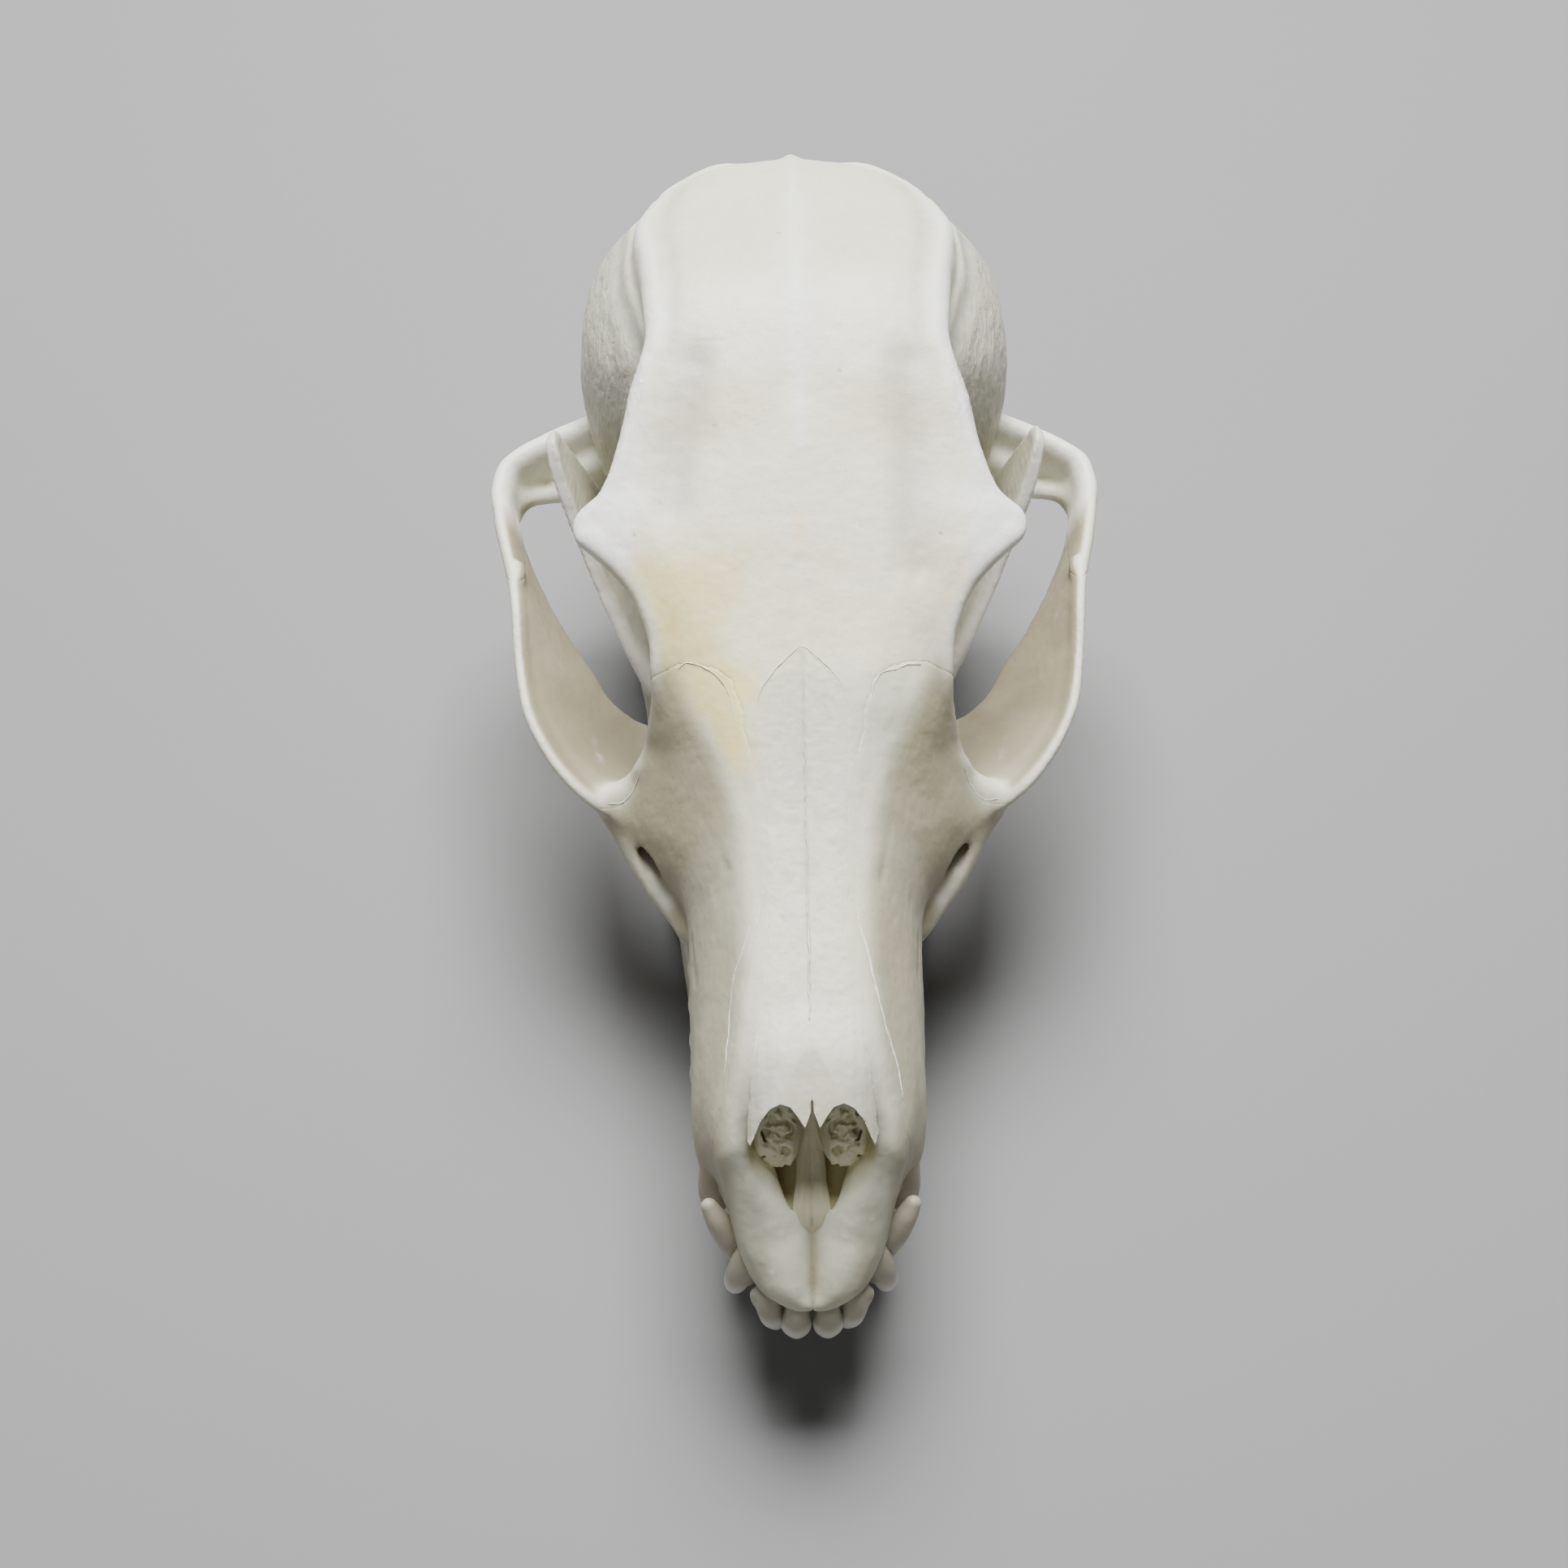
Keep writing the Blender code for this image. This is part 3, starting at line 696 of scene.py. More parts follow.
@dataclass
class Surface:
    """A closed surface in skull millimetres, with its colour masks."""

    points: Array
    faces: Array
    masks: dict[Mask, Array] = field(default_factory=dict)
    cut: Array | None = None

    def mirrored(self) -> "Surface":
        """The same surface on the other side of the middle plane."""
        return Surface(self.points * (-1, 1, 1), self.faces[:, ::-1], dict(self.masks))

    def largest(self) -> "Surface":
        """The surface without crumbs: its bodies of at least a tenth of the largest one's points."""
        label = np.arange(len(self.points))
        while True:
            lowest = label.copy()
            for i in range(self.faces.shape[1]):
                np.minimum.at(lowest, self.faces[:, i], label[self.faces].min(axis=1))
            lowest = lowest[lowest]
            if (lowest == label).all():
                break
            label = lowest
        found, count = np.unique(label, return_counts=True)
        kept = found[count >= 0.1 * count.max()]
        keep = np.isin(label, kept)
        index = np.cumsum(keep) - 1
        faces = self.faces[keep[self.faces[:, 0]]]
        return Surface(self.points[keep], index[faces], cut=None if self.cut is None else self.cut[keep])

    def placed(self) -> Array:
        """The points in metres, in the row frame."""
        return (self.points - (0.0, MIDDLE, GROUND)) * MM

    def to_object(self, name: str, material: bpy.types.Material) -> bpy.types.Object:
        """A mesh object with this surface, at the origin.

        Args:
            name: the object's name.
            material: its finish.
        Returns:
            The object, linked to the scene.
        """
        mesh = bpy.data.meshes.new(name)
        sides = self.faces.shape[1]
        mesh.vertices.add(len(self.points))
        mesh.vertices.foreach_set("co", self.placed().astype(np.float32).ravel())
        mesh.loops.add(self.faces.size)
        mesh.loops.foreach_set("vertex_index", self.faces.astype(np.int32).ravel())
        mesh.polygons.add(len(self.faces))
        mesh.polygons.foreach_set("loop_start", np.arange(0, self.faces.size, sides, dtype=np.int32))
        mesh.update(calc_edges=True)
        mesh.validate()
        for mask, values in self.masks.items():
            layer = mesh.attributes.new(mask.value, "FLOAT", "POINT")
            layer.data.foreach_set("value", np.clip(values, 0, 1).astype(np.float32))
        return smooth_object(mesh, material)


def linked(name: str, data: bpy.types.ID) -> bpy.types.Object:
    """A new object with a mesh, lamp or lens in it, in the scene."""
    obj = bpy.data.objects.new(name, data)
    bpy.context.scene.collection.objects.link(obj)
    return obj


def smooth_object(mesh: bpy.types.Mesh, material: bpy.types.Material) -> bpy.types.Object:
    """An object named as its mesh, smooth but for its sharp edges."""
    mesh.materials.append(material)
    mesh.shade_smooth()
    mesh.set_sharp_from_angle(angle=math.radians(SHARP_ANGLE))
    return linked(mesh.name, mesh)


def gathered(surfaces: list[Surface]) -> Surface:
    """Several surfaces as one, their masks kept."""
    start = np.cumsum([0] + [len(surface.points) for surface in surfaces])
    points = np.concatenate([surface.points for surface in surfaces])
    faces = np.concatenate([surface.faces + n for surface, n in zip(surfaces, start)])
    masks = {
        mask: np.concatenate([surface.masks[mask] for surface in surfaces])
        for mask in surfaces[0].masks
    }
    return Surface(points, faces, masks)


@dataclass(frozen=True)
class Mark:
    """Something small on the bone: how it lifts or sinks the surface and what it adds to a mask."""

    path: Knots
    width: float
    rise: float = 0.0
    mask: Mask | None = None
    amount: float = 0.0
    spread: float = 1.0
    wander: float = 0.0

    def flipped(self) -> "Mark":
        """The same mark on the other side."""
        return replace(self, path=tuple((-x, s, z) for x, s, z in self.path))

    def apply(self, points: Array, lift: Array, masks: dict[Mask, Array], grain: Grain) -> None:
        """Add this mark to the lift and the masks of a surface.

        Args:
            points: the surface's points.
            lift: how far each moves outwards, changed in place.
            masks: the masks, changed in place.
            grain: the source of its irregular edge.
        """
        line = smoothed_path(self.path, 0.5)[:, :3]
        widest = self.width * max(1.0, self.spread)
        reach = 2.6 * widest
        low, high = line.min(axis=0) - reach, line.max(axis=0) + reach
        near = np.flatnonzero(((points > low) & (points < high)).all(axis=1))
        if len(near) == 0:
            return
        here = points[near]
        if self.wander:
            shift = np.stack([grain.at(here + offset, 0.9, 2) for offset in (0, 31, 62)], axis=1)
            here = here + self.wander * shift
        gap = path_distance(here, line, reach)
        lift[near] += self.rise * np.exp(-((gap / self.width) ** 2))
        if self.mask is not None:
            masks[self.mask][near] += self.amount * np.exp(-((gap / (self.width * self.spread)) ** 2))


def worn(points: Array, fine: Volume, broad: Volume) -> dict[Mask, Array]:
    """Masks that make sharp edges paler and paint shade into the hollows, from how the bone bends.

    Args:
        points: the surface's points.
        fine: the bone's block averaged over about a millimetre.
        broad: the block averaged over a few millimetres.
    Returns:
        Every mask, the others empty.
    """
    masks = {mask: np.zeros(len(points)) for mask in Mask}
    bend, bowl = fine.read(points), broad.read(points)
    masks[Mask.EDGE] = ease(0.16, 0.5, bend)
    masks[Mask.HOLLOW] = ease(0.05, 0.32, -bend) * 0.8 + ease(0.1, 0.9, -bowl) * 0.35
    return masks


# ---------------------------------------------------------------- finishes


Value = "Socket | float | tuple[float, ...]"


@dataclass(frozen=True)
class Socket:
    """An output of a shader node that sums and products can be written with."""

    shader: "Shader"
    output: bpy.types.NodeSocket

    def math(self, operation: str, *others: Value, first: bool = True) -> "Socket":
        """One Math node on this value and others.

        Args:
            operation: the Math node's operation.
            others: its other inputs.
            first: whether this value is the first input.
        Returns:
            The result.
        """
        values = (self, *others) if first else (*others, self)
        return self.shader.node("Math", dict(operation=operation), dict(enumerate(values)))

    def __add__(self, other: Value) -> "Socket":
        """Sum."""
        return self.math("ADD", other)

    def __radd__(self, other: Value) -> "Socket":
        """Sum with a number on the left."""
        return self.math("ADD", other)

    def __sub__(self, other: Value) -> "Socket":
        """Difference."""
        return self.math("SUBTRACT", other)

    def __rsub__(self, other: Value) -> "Socket":
        """Difference from a number on the left."""
        return self.math("SUBTRACT", other, first=False)

    def __mul__(self, other: Value) -> "Socket":
        """Product."""
        return self.math("MULTIPLY", other)

    def __rmul__(self, other: Value) -> "Socket":
        """Product with a number on the left."""
        return self.math("MULTIPLY", other)

    def clamped(self) -> "Socket":
        """The value kept between 0 and 1."""
        return self.shader.node("Clamp", {}, {"Value": self})

    def between(self, low: float, high: float) -> "Socket":
        """0 at low, 1 at high and smooth between them."""
        settings = dict(interpolation_type="SMOOTHSTEP")
        return self.shader.node(
            "MapRange", settings, {"Value": self, "From Min": low, "From Max": high}
        )


class Shader:
    """A material that is built node by node."""

    def __init__(self, name: str) -> None:
        """Start a material with a Principled BSDF.

        Args:
            name: the material's name.
        """
        self.material = bpy.data.materials.new(name)
        self.material.use_nodes = True
        self.tree = self.material.node_tree
        self.surface = self.tree.nodes["Principled BSDF"]

    def node(self, kind: str, settings: dict, inputs: dict, output: int | str = 0) -> Socket:
        """Add a node.

        Args:
            kind: its type, without ShaderNode.
            settings: properties, set before the inputs.
            inputs: values or sockets by input name or number.
            output: the output to hand back.
        Returns:
            That output.
        """
        made = self.tree.nodes.new("ShaderNode" + kind)
        for key, value in settings.items():
            setattr(made, key, value)
        for key, value in inputs.items():
            self.feed(made.inputs[key], value)
        return Socket(self, made.outputs[output])

    def feed(self, socket: bpy.types.NodeSocket, value: Value) -> None:
        """Link a socket to an input, or set the input to a number or a colour."""
        if isinstance(value, Socket):
            self.tree.links.new(value.output, socket)
        elif isinstance(value, tuple) and len(value) == 3 and socket.type == "RGBA":
            socket.default_value = (*value, 1.0)
        else:
            socket.default_value = value

    def mask(self, mask: Mask) -> Socket:
        """One of the mesh's masks."""
        return self.node("Attribute", dict(attribute_name=mask.value), {}, "Fac")

    def place(self, scale: Place) -> Socket:
        """Object coordinates, times a number of steps for each metre along each axis."""
        where = self.node("TexCoord", {}, {}, "Object")
        return self.node("VectorMath", dict(operation="MULTIPLY"), {0: where, 1: scale})

    def noise(self, scale: Place, detail: float = 2.0, rough: float = 0.5, twist: float = 0.0) -> Socket:
        """Cloudy values about 0.5, with so many clouds for each metre."""
        inputs = {
            "Vector": self.place(scale), "Scale": 1.0, "Detail": detail,
            "Roughness": rough, "Distortion": twist,
        }
        return self.node("TexNoise", {}, inputs, "Fac")

    def blend(self, share: Value, low: Value, high: Value) -> Socket:
        """A mix of two colours."""
        made = self.tree.nodes.new("ShaderNodeMix")
        made.data_type = "RGBA"
        for key, value in ((0, share), (6, low), (7, high)):
            self.feed(made.inputs[key], value)
        return Socket(self, made.outputs[2])

    def bump(self, height: Socket, depth: float, under: Socket | None = None) -> Socket:
        """A Bump node, its depth in metres."""
        inputs = {"Strength": 1.0, "Distance": depth, "Height": height}
        if under is not None:
            inputs["Normal"] = under
        return self.node("Bump", {}, inputs)

    def set(self, **inputs: Value) -> None:
        """Feed inputs of the Principled BSDF, their names written with _ for a space."""
        for key, value in inputs.items():
            self.feed(self.surface.inputs[key.replace("_", " ")], value)


@dataclass(frozen=True)
class BoneFinish:
    """Dry cleaned bone: ivory and cream, finely pitted, paler on sharp edges, with painted shade where
    faces turn from the light and painted highlights on ridges and upward faces.
    """

    ivory: Place = (0.86, 0.86, 0.69)
    cream: Place = (0.81, 0.795, 0.575)
    # grey, tan and dark also serve as painted shade, and pale as painted highlight.
    grey: Place = (0.40, 0.397, 0.35)
    warm: Place = (0.86, 0.71, 0.27)
    tan: Place = (0.35, 0.31, 0.20)
    dark: Place = (0.15, 0.105, 0.06)
    pale: Place = (0.90, 0.90, 0.85)
    roughness: float = 0.5
    grain_depth: float = 0.00003
    fibre_depth: float = 0.00025

    def material(self, name: str) -> bpy.types.Material:
        """Build the material.

        Args:
            name: its name.
        Returns:
            The material.
        """
        shader = Shader(name)
        clouds = shader.noise((95, 95, 95), 4, 0.55, 0.4)
        mottle = shader.noise((620, 620, 620), 5, 0.6)
        speckle = shader.noise((2600, 2600, 2600), 3, 0.65)
        fibres = shader.noise((2400, 520, 700), 4, 0.62, 0.5)
        colour = shader.blend((clouds * 0.75 + mottle * 0.45 - 0.1).between(0.3, 0.72), self.ivory,
                              self.cream)
        # Grey tone, and painted shade on the muzzle's slopes and in troughs.
        colour = shader.blend((shader.mask(Mask.GREY) * (0.5 + 0.8 * mottle)).clamped(), colour, self.grey)
        colour = shader.blend((shader.mask(Mask.WARM) * (0.3 + 0.9 * mottle)).clamped(), colour, self.warm)
        # Tan, largely painted shade on faces turned from the light.
        tan = (shader.mask(Mask.TAN) * (0.6 + 0.7 * clouds)).clamped()
        colour = shader.blend(tan, colour, self.tan)
        # Painted shade in the hollows, in the tan colour.
        hollow = (shader.mask(Mask.HOLLOW) * (0.5 + 0.6 * speckle)).clamped()
        colour = shader.blend(hollow * 0.75, colour, self.tan)
        # Paler on sharp edges, then pale bone and painted highlights.
        colour = shader.blend((shader.mask(Mask.EDGE) * 0.6).clamped(), colour, self.pale)
        colour = shader.blend((shader.mask(Mask.PALE) * (0.6 + 0.6 * mottle)).clamped(), colour, self.pale)
        fleck = speckle.between(0.5, 0.78) * 0.26
        colour = shader.blend(fleck.clamped(), colour, self.grey)
        streak = (shader.mask(Mask.FIBRE) * fibres.between(0.45, 0.72) * 0.5).clamped()
        colour = shader.blend(streak, colour, self.grey)
        # Dark: painted shade in pits, creases and the arches' inner faces, and a few dark lines.
        colour = shader.blend(shader.mask(Mask.DARK).clamped(), colour, self.dark)
        normal = shader.bump(mottle * 0.6 + speckle * 0.6, self.grain_depth)
        normal = shader.bump(fibres * shader.mask(Mask.FIBRE), self.fibre_depth, normal)
        rough = self.roughness + 0.16 * (mottle - 0.5) - 0.1 * shader.mask(Mask.PALE)
        shader.set(Base_Color=colour, Roughness=rough, Normal=normal)
        shader.set(Subsurface_Weight=0.06, Subsurface_Scale=0.0012, Specular_IOR_Level=0.4)
        return shader.material


@dataclass(frozen=True)
class ToothFinish:
    """Enamel: smooth ivory, creamier at the neck, faintly streaked along the tooth, with painted shade in
    its hollows and over the canines.
    """

    enamel: Place = (0.66, 0.65, 0.585)
    neck: Place = (0.40, 0.365, 0.27)
    # Brown for the streaks, and for painted shade.
    stain_and_shade: Place = (0.31, 0.245, 0.14)
    roughness: float = 0.3

    def material(self, name: str) -> bpy.types.Material:
        """Build the material.

        Args:
            name: its name.
        Returns:
            The material.
        """
        shader = Shader(name)
        clouds = shader.noise((420, 420, 420), 4, 0.55)
        streaks = shader.noise((1900, 1900, 240), 3, 0.5)
        fine = shader.noise((3600, 3600, 1200), 2)
        colour = shader.blend((shader.mask(Mask.WARM) * (0.6 + 0.7 * clouds)).clamped(), self.enamel,
                              self.neck)
        colour = shader.blend(streaks.between(0.55, 0.8) * 0.22, colour, self.stain_and_shade)
        # Painted shade in the hollows and over the upper canine.
        colour = shader.blend((shader.mask(Mask.HOLLOW) * 0.7).clamped(), colour, self.stain_and_shade)
        normal = shader.bump(fine * 0.3 + streaks * 0.4 + clouds * 0.6, 0.00004)
        rough = self.roughness + 0.2 * shader.mask(Mask.WARM) + 0.12 * (clouds - 0.5)
        shader.set(Base_Color=colour, Roughness=rough, Normal=normal)
        shader.set(Subsurface_Weight=0.08, Subsurface_Scale=0.001, Coat_Roughness=0.15)
        return shader.material


@dataclass(frozen=True)
class SutureFinish:
    """Chalky pale matter in the sutures, with a few brownish stretches."""

    pale: Place = (0.88, 0.87, 0.82)
    brown: Place = (0.60, 0.50, 0.34)

    def material(self, name: str) -> bpy.types.Material:
        """Build the material.

        Args:
            name: its name.
        Returns:
            The material.
        """
        shader = Shader(name)
        patches = shader.noise((700, 170, 170), 3)
        fine = shader.noise((4200, 4200, 4200), 3, 0.6)
        colour = shader.blend(patches.between(0.54, 0.66), self.pale, self.brown)
        shader.set(Base_Color=colour, Roughness=0.6 + 0.2 * fine, Normal=shader.bump(fine, 0.00004))
        return shader.material


@dataclass(frozen=True)
class FloorFinish:
    """A pale matt floor with the faintest unevenness."""

    colour: Place = (0.24, 0.24, 0.24)
    shade: Place = (0.225, 0.225, 0.225)

    def material(self, name: str) -> bpy.types.Material:
        """Build the material.

        Args:
            name: its name.
        Returns:
            The material.
        """
        shader = Shader(name)
        clouds = shader.noise((6, 6, 6), 4)
        shader.set(Base_Color=shader.blend(clouds, self.colour, self.shade), Roughness=0.7)
        return shader.material


def ride(obj: bpy.types.Object, *nodes: str) -> bpy.types.Object:
    """Fix a finished piece to the part's one body, and let it stand for CAD nodes.

    Args:
        obj: the piece.
        nodes: the CAD nodes that it stands for.
    Returns:
        The piece.
    """
    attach(obj, BODY)
    if nodes:
        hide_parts(*nodes)
    LOG.info("%s: %d faces", obj.name, len(obj.data.polygons))
    return obj


# ---------------------------------------------------------------- the cranium


@dataclass(frozen=True)
class Cranium:
    """Upper jaw, forehead, braincase and cheek arches, as one block cut along its sutures."""

    voxel: float = 0.3
    front_end: float = -1.3
    inion: float = 120.0
    station_step: float = 0.5
    cut_height: float = 12.0
    # How far the shell's cross-sections lean forward for each millimetre up, by station.
    slant: Knots = ((-1.3, 0), (20, 0), (56.4, 0.42), (78, 0), (121.2, 0))
    # Rails along the shell, from its top to its underside, as rows of (s, x, z).
    crest: Knots = (
        (-1.3, 0, -0.4), (-0.6, 0, 0.5), (1, 0, 1.6), (4, 0, 3.1), (7, 0, 4.9), (9.5, 0, 12.2), (11, 0, 15),
        (20, 0, 16.3), (30, 0, 17.6), (40, 0, 19.6), (52, 0, 23.2), (64, 0, 28.4), (76, 0, 33.2),
        (88, 0, 37.2), (95, 0, 38), (106, 0, 36.4), (113, 0, 33.7), (117.4, 0, 30.9), (120, 0, 28.4),
    )
    shoulder: Knots = (
        (-1.3, 0.8, -0.2), (-0.6, 1.9, 1), (1, 2.7, 2.5), (4, 3.6, 4.7), (7, 3.9, 8.4), (9.5, 3.8, 12.6),
        (11, 4.2, 14.4), (20, 4.6, 15.8), (30, 3.9, 17.2), (40, 4.8, 19.3), (52, 7.2, 23.4), (65, 11, 28.8),
        (72, 9.6, 31.4), (80, 7.8, 35), (90, 7.4, 37.2), (104, 8, 36.2), (112.2, 7.4, 33.5),
        (117, 3.8, 30.6), (120, 0.7, 28.3),
    )
    ridge: Knots = (
        (-1.3, 1.2, -0.4), (-0.6, 2.9, 0.6), (1, 4.4, 1.8), (4, 5.7, 4.2), (7, 6.1, 8), (9, 6.3, 10.8),
        (16, 7, 12.6), (24, 7, 13.9), (32, 7.3, 15.3), (36, 8, 15.8), (41, 9.2, 16.6), (46, 11, 18),
        (50, 13, 19.5), (52.5, 13.7, 20.8), (55, 13.9, 22.4), (59, 15.4, 24.8), (63, 19.2, 26.5),
        (65.3, 21.6, 27.1), (66.3, 21.3, 27.5), (68.6, 19, 28.4), (72, 17.5, 30), (79, 15.9, 32.7),
        (85, 14.3, 34.7), (93, 14.7, 36), (100, 15.5, 35), (106, 14.6, 33.3), (110, 14, 31.3),
        (113.8, 11.7, 30.6), (117.3, 7.9, 29.9), (118.6, 3.8, 29.1), (120, 1, 28.2),
    )
    under_ridge: Knots = (
        (-1.3, 1.4, -0.6), (-0.6, 3.3, 0.2), (1, 4.9, 0.9), (4, 6.3, 2.8), (7, 7.2, 5.4), (9, 8.1, 8),
        (16, 9.2, 9.4), (32, 9.7, 11.4), (36, 10.7, 11.6), (41, 12.6, 12.4), (46, 14, 13.6),
        (49, 14.2, 15.2), (51.6, 12.8, 17.8), (59, 13, 22), (65.5, 14.8, 24.6), (72, 13.9, 27.2),
        (80, 13.8, 29.8), (88, 15.8, 31.9), (98, 17.9, 31.4), (106, 17.7, 30), (110.4, 15.3, 29.4),
        (113.9, 12.4, 29.2), (117, 8.5, 28.9), (118.4, 3.7, 28.8), (120, 1.2, 28),
    )
    upper_wall: Knots = (
        (-1.3, 1.4, -0.8), (-0.6, 3.4, -0.2), (1, 5.1, 0.3), (4, 6.5, 1.5), (7, 7.4, 3.2), (9, 8.1, 5),
        (12, 9.5, 5.6), (16, 10.2, 6), (24, 10.7, 6.6), (32, 10.9, 7.2), (36, 11.6, 7.8), (40, 14, 8.6),
        (44, 16, 9.7), (48.2, 16.4, 11.4), (50.8, 11.6, 13.4), (57, 10.4, 15.6), (65.5, 11.2, 18),
        (72, 11.8, 20.8), (76, 12.6, 22.4), (82, 16, 25.2), (90, 20.2, 26.6), (98, 21.9, 25.6),
        (104, 21.6, 25.5), (107.6, 19.9, 26), (110.5, 17.3, 26.6), (112.8, 15, 27.2), (115.8, 11, 27.8),
        (118.2, 3.6, 28.4), (120, 1.1, 27.9),
    )
    side_line: Knots = (
        (-1.3, 1.4, -1), (-0.6, 3.2, -0.6), (1, 5, -0.2), (4, 6.5, 0.4), (7, 7.3, 1.4), (9, 7.9, 2.2),
        (10.4, 8.8, 2.5), (12, 9.9, 2.8), (16, 10.4, 3), (24, 10.8, 3.4), (32, 10.9, 3.7), (35.5, 11.2, 4),
        (38.6, 12.9, 4.6), (40.6, 15.2, 5.2), (44, 17, 6.6), (47.4, 18, 8.2), (50.4, 11.8, 8.6),
        (57, 9.2, 10), (65.5, 9.2, 12), (72, 10.7, 14), (76, 12.6, 15.6), (82, 17.2, 17.6), (88, 21.1, 19),
        (95, 22.9, 19.6), (101, 22.7, 19.6), (106, 21.2, 20), (110.3, 18.4, 21.2), (113.9, 13.6, 23),
        (116.6, 8.4, 25.4), (118, 3.5, 28.1), (120, 1, 27.8),
    )
    lower_wall: Knots = (
        (-1.3, 1.2, -1.2), (-0.6, 2.8, -1), (1, 4.7, -0.8), (4, 6.2, -0.5), (7, 7.2, 0), (9, 7.8, 0.6),
        (10.4, 8.5, 0.8), (12, 9.7, 0.9), (16, 10.2, 1), (24, 10.6, 1), (32, 10.8, 1), (36, 11, 1.1),
        (39.6, 12.6, 1.2), (45, 15.8, 2.4), (50, 14.6, 4.4), (57, 14, 3.6), (61, 8.4, 5.2), (66, 7.6, 7),
        (72, 9, 9), (80, 14.2, 10.2), (88, 20.2, 11), (98, 21.4, 11.6), (106, 20, 12.2), (110.3, 17, 13.6),
        (114.3, 12.6, 16.4), (116.7, 7.8, 21.6), (118, 3.2, 27.8), (120, 0.9, 27.7),
    )
    base_edge: Knots = (
        (-1.3, 0.9, -1.3), (-0.6, 2.2, -1.3), (1, 4, -1.3), (4, 5.5, -1.1), (7, 6.5, -0.8), (9, 7.2, -0.4),
        (12, 9, -0.5), (16, 9.6, -0.5), (32, 10.4, -0.6), (36, 10.8, -0.6), (39.6, 12, -0.6),
        (45, 14.6, -0.5), (50, 15.4, -0.3), (57, 14.4, 0), (61, 7.4, 1.8), (66, 6.4, 5), (72, 7.4, 6.9),
        (80, 10.6, 7.6), (88, 14.6, 8.2), (98, 15.4, 8), (106, 13, 7.6), (111, 10.4, 8.8), (115, 8.4, 12.4),
        (117, 6.4, 18.6), (118.2, 2.6, 27.6), (120, 0.7, 27.6),
    )
    base: Knots = (
        (-1.3, 0, -1.2), (-0.6, 0, -1.3), (1, 0, -1.2), (4, 0, -0.7), (7, 0, 0.3), (11, 0, 1.2),
        (30, 0, 1.9), (57, 0, 2.2), (60, 0, 2.8), (63, 0, 7.2), (76, 0, 7.4), (98, 0, 6.6), (110, 0, 6.8),
        (114, 0, 9), (117, 0, 17.6), (118.2, 0, 27.4), (120, 0, 27.5),
    )
    # The cheek arch: its upper outer edge, with the thickness of the plate there, and its lower inner edge.
    arch_upper: Knots = (
        (15.2, 43.8, 7.4, 2.8), (18.8, 45.2, 8.5, 2.4), (22.1, 47.6, 9.6, 1.9), (25.2, 51.6, 10.6, 1.5),
        (27.4, 56.5, 11.4, 1.3), (28.3, 61.5, 12.2, 1.3), (28.9, 68, 13.7, 1.45), (29.7, 73, 13.4, 1.8),
        (30.8, 78, 12.5, 1.9), (31.9, 83.5, 11.6, 2), (32.4, 87.2, 11.4, 2.2), (31.9, 90.3, 11.6, 2.4),
        (30, 92.3, 11.9, 2.6), (27.4, 93.8, 12.3, 2.8), (23.8, 95.2, 13, 3.2), (19.5, 96.4, 13.6, 3.6),
    )
    arch_lower: Knots = (
        (13.5, 57, 2.6), (15.6, 60.2, 3), (17.2, 60.8, 3.6), (18.6, 61.9, 4), (19.9, 63.7, 4),
        (21.5, 66.7, 4.1), (24.5, 71, 4.7), (26.9, 75, 5.5), (29, 79.5, 6), (30.2, 83.3, 5.8),
        (31, 87.2, 4.8), (30.5, 91, 4.3), (28.6, 93, 4.4), (25.9, 94.1, 4.6), (22.8, 95.2, 4.8),
        (18.5, 96, 5),
    )
    # The plate's cross-section, in shares of its height and half its thickness.
    arch_outline: Knots = (
        (0, 0), (0.05, 0.6), (0.2, 1), (0.5, 0.95), (0.8, 0.8), (0.95, 0.5), (1, 0), (0.95, -0.5),
        (0.8, -0.8), (0.5, -0.95), (0.2, -1), (0.05, -0.6),
    )
    rim_radius: float = 0.5
    condyle_ends: Knots = ((16.4, 94.2, 3.9, 2.8), (26, 93.6, 4.3, 2.8))
    # Sutures in plan, with x away from the middle.
    nasal_edge: Knots = (
        (5.3, 7.9), (5.55, 9.2), (5.4, 11.8), (4.8, 16.1), (4.1, 20.9), (3.5, 27.2), (3.65, 31),
        (3.9, 35.9), (4.5, 42), (4.8, 45.9), (4.1, 49), (3, 50.6), (1.5, 52.3), (0, 53.5),
    )
    # Where the nasals and the frontal's middle end, by station.
    nasal_side: Knots = ((8, 5.6), (16, 4.9), (27, 3.7), (36, 4.2), (43, 6), (48, 8.4), (56, 11.5))
    nasal_front: Knots = (
        (0, 11.4), (0.12, 9.9), (0.62, 8.5), (1.15, 9.4), (1.8, 10.3), (2.7, 10.65), (3.6, 10.3),
        (4.4, 9.4), (4.9, 8.4),
    )
    premaxilla_edge: Knots = (
        (13, 9), (9.6, 9.2), (8.9, 10.2), (8.2, 11.8), (7.2, 16.6), (6.5, 20.5), (5.5, 24.5), (4.6, 28.8),
        (3.9, 31.2), (2.4, 32),
    )
    frontal_edge: Knots = (
        (0, 46), (3, 44), (4.5, 41.8), (5, 41.6), (5.4, 43), (5.75, 44.8), (6.1, 47.4), (6.9, 50.2),
        (8.4, 51.5), (10, 52.2), (11.6, 52.2), (14, 51.2), (17, 50.2), (40, 50),
    )
    cheek_edge: Knots = (
        (15.4, 60), (15.5, 49.4), (15.7, 47.8), (16.5, 46.1), (17.6, 45.4), (19.8, 45.2), (21.6, 42),
        (40, 42), (40, 100), (24, 100), (15.4, 70),
    )
    tuck: float = 0.16
    nasal_thickness: float = 0.8
    nasal_edge_thickness: float = 0.36
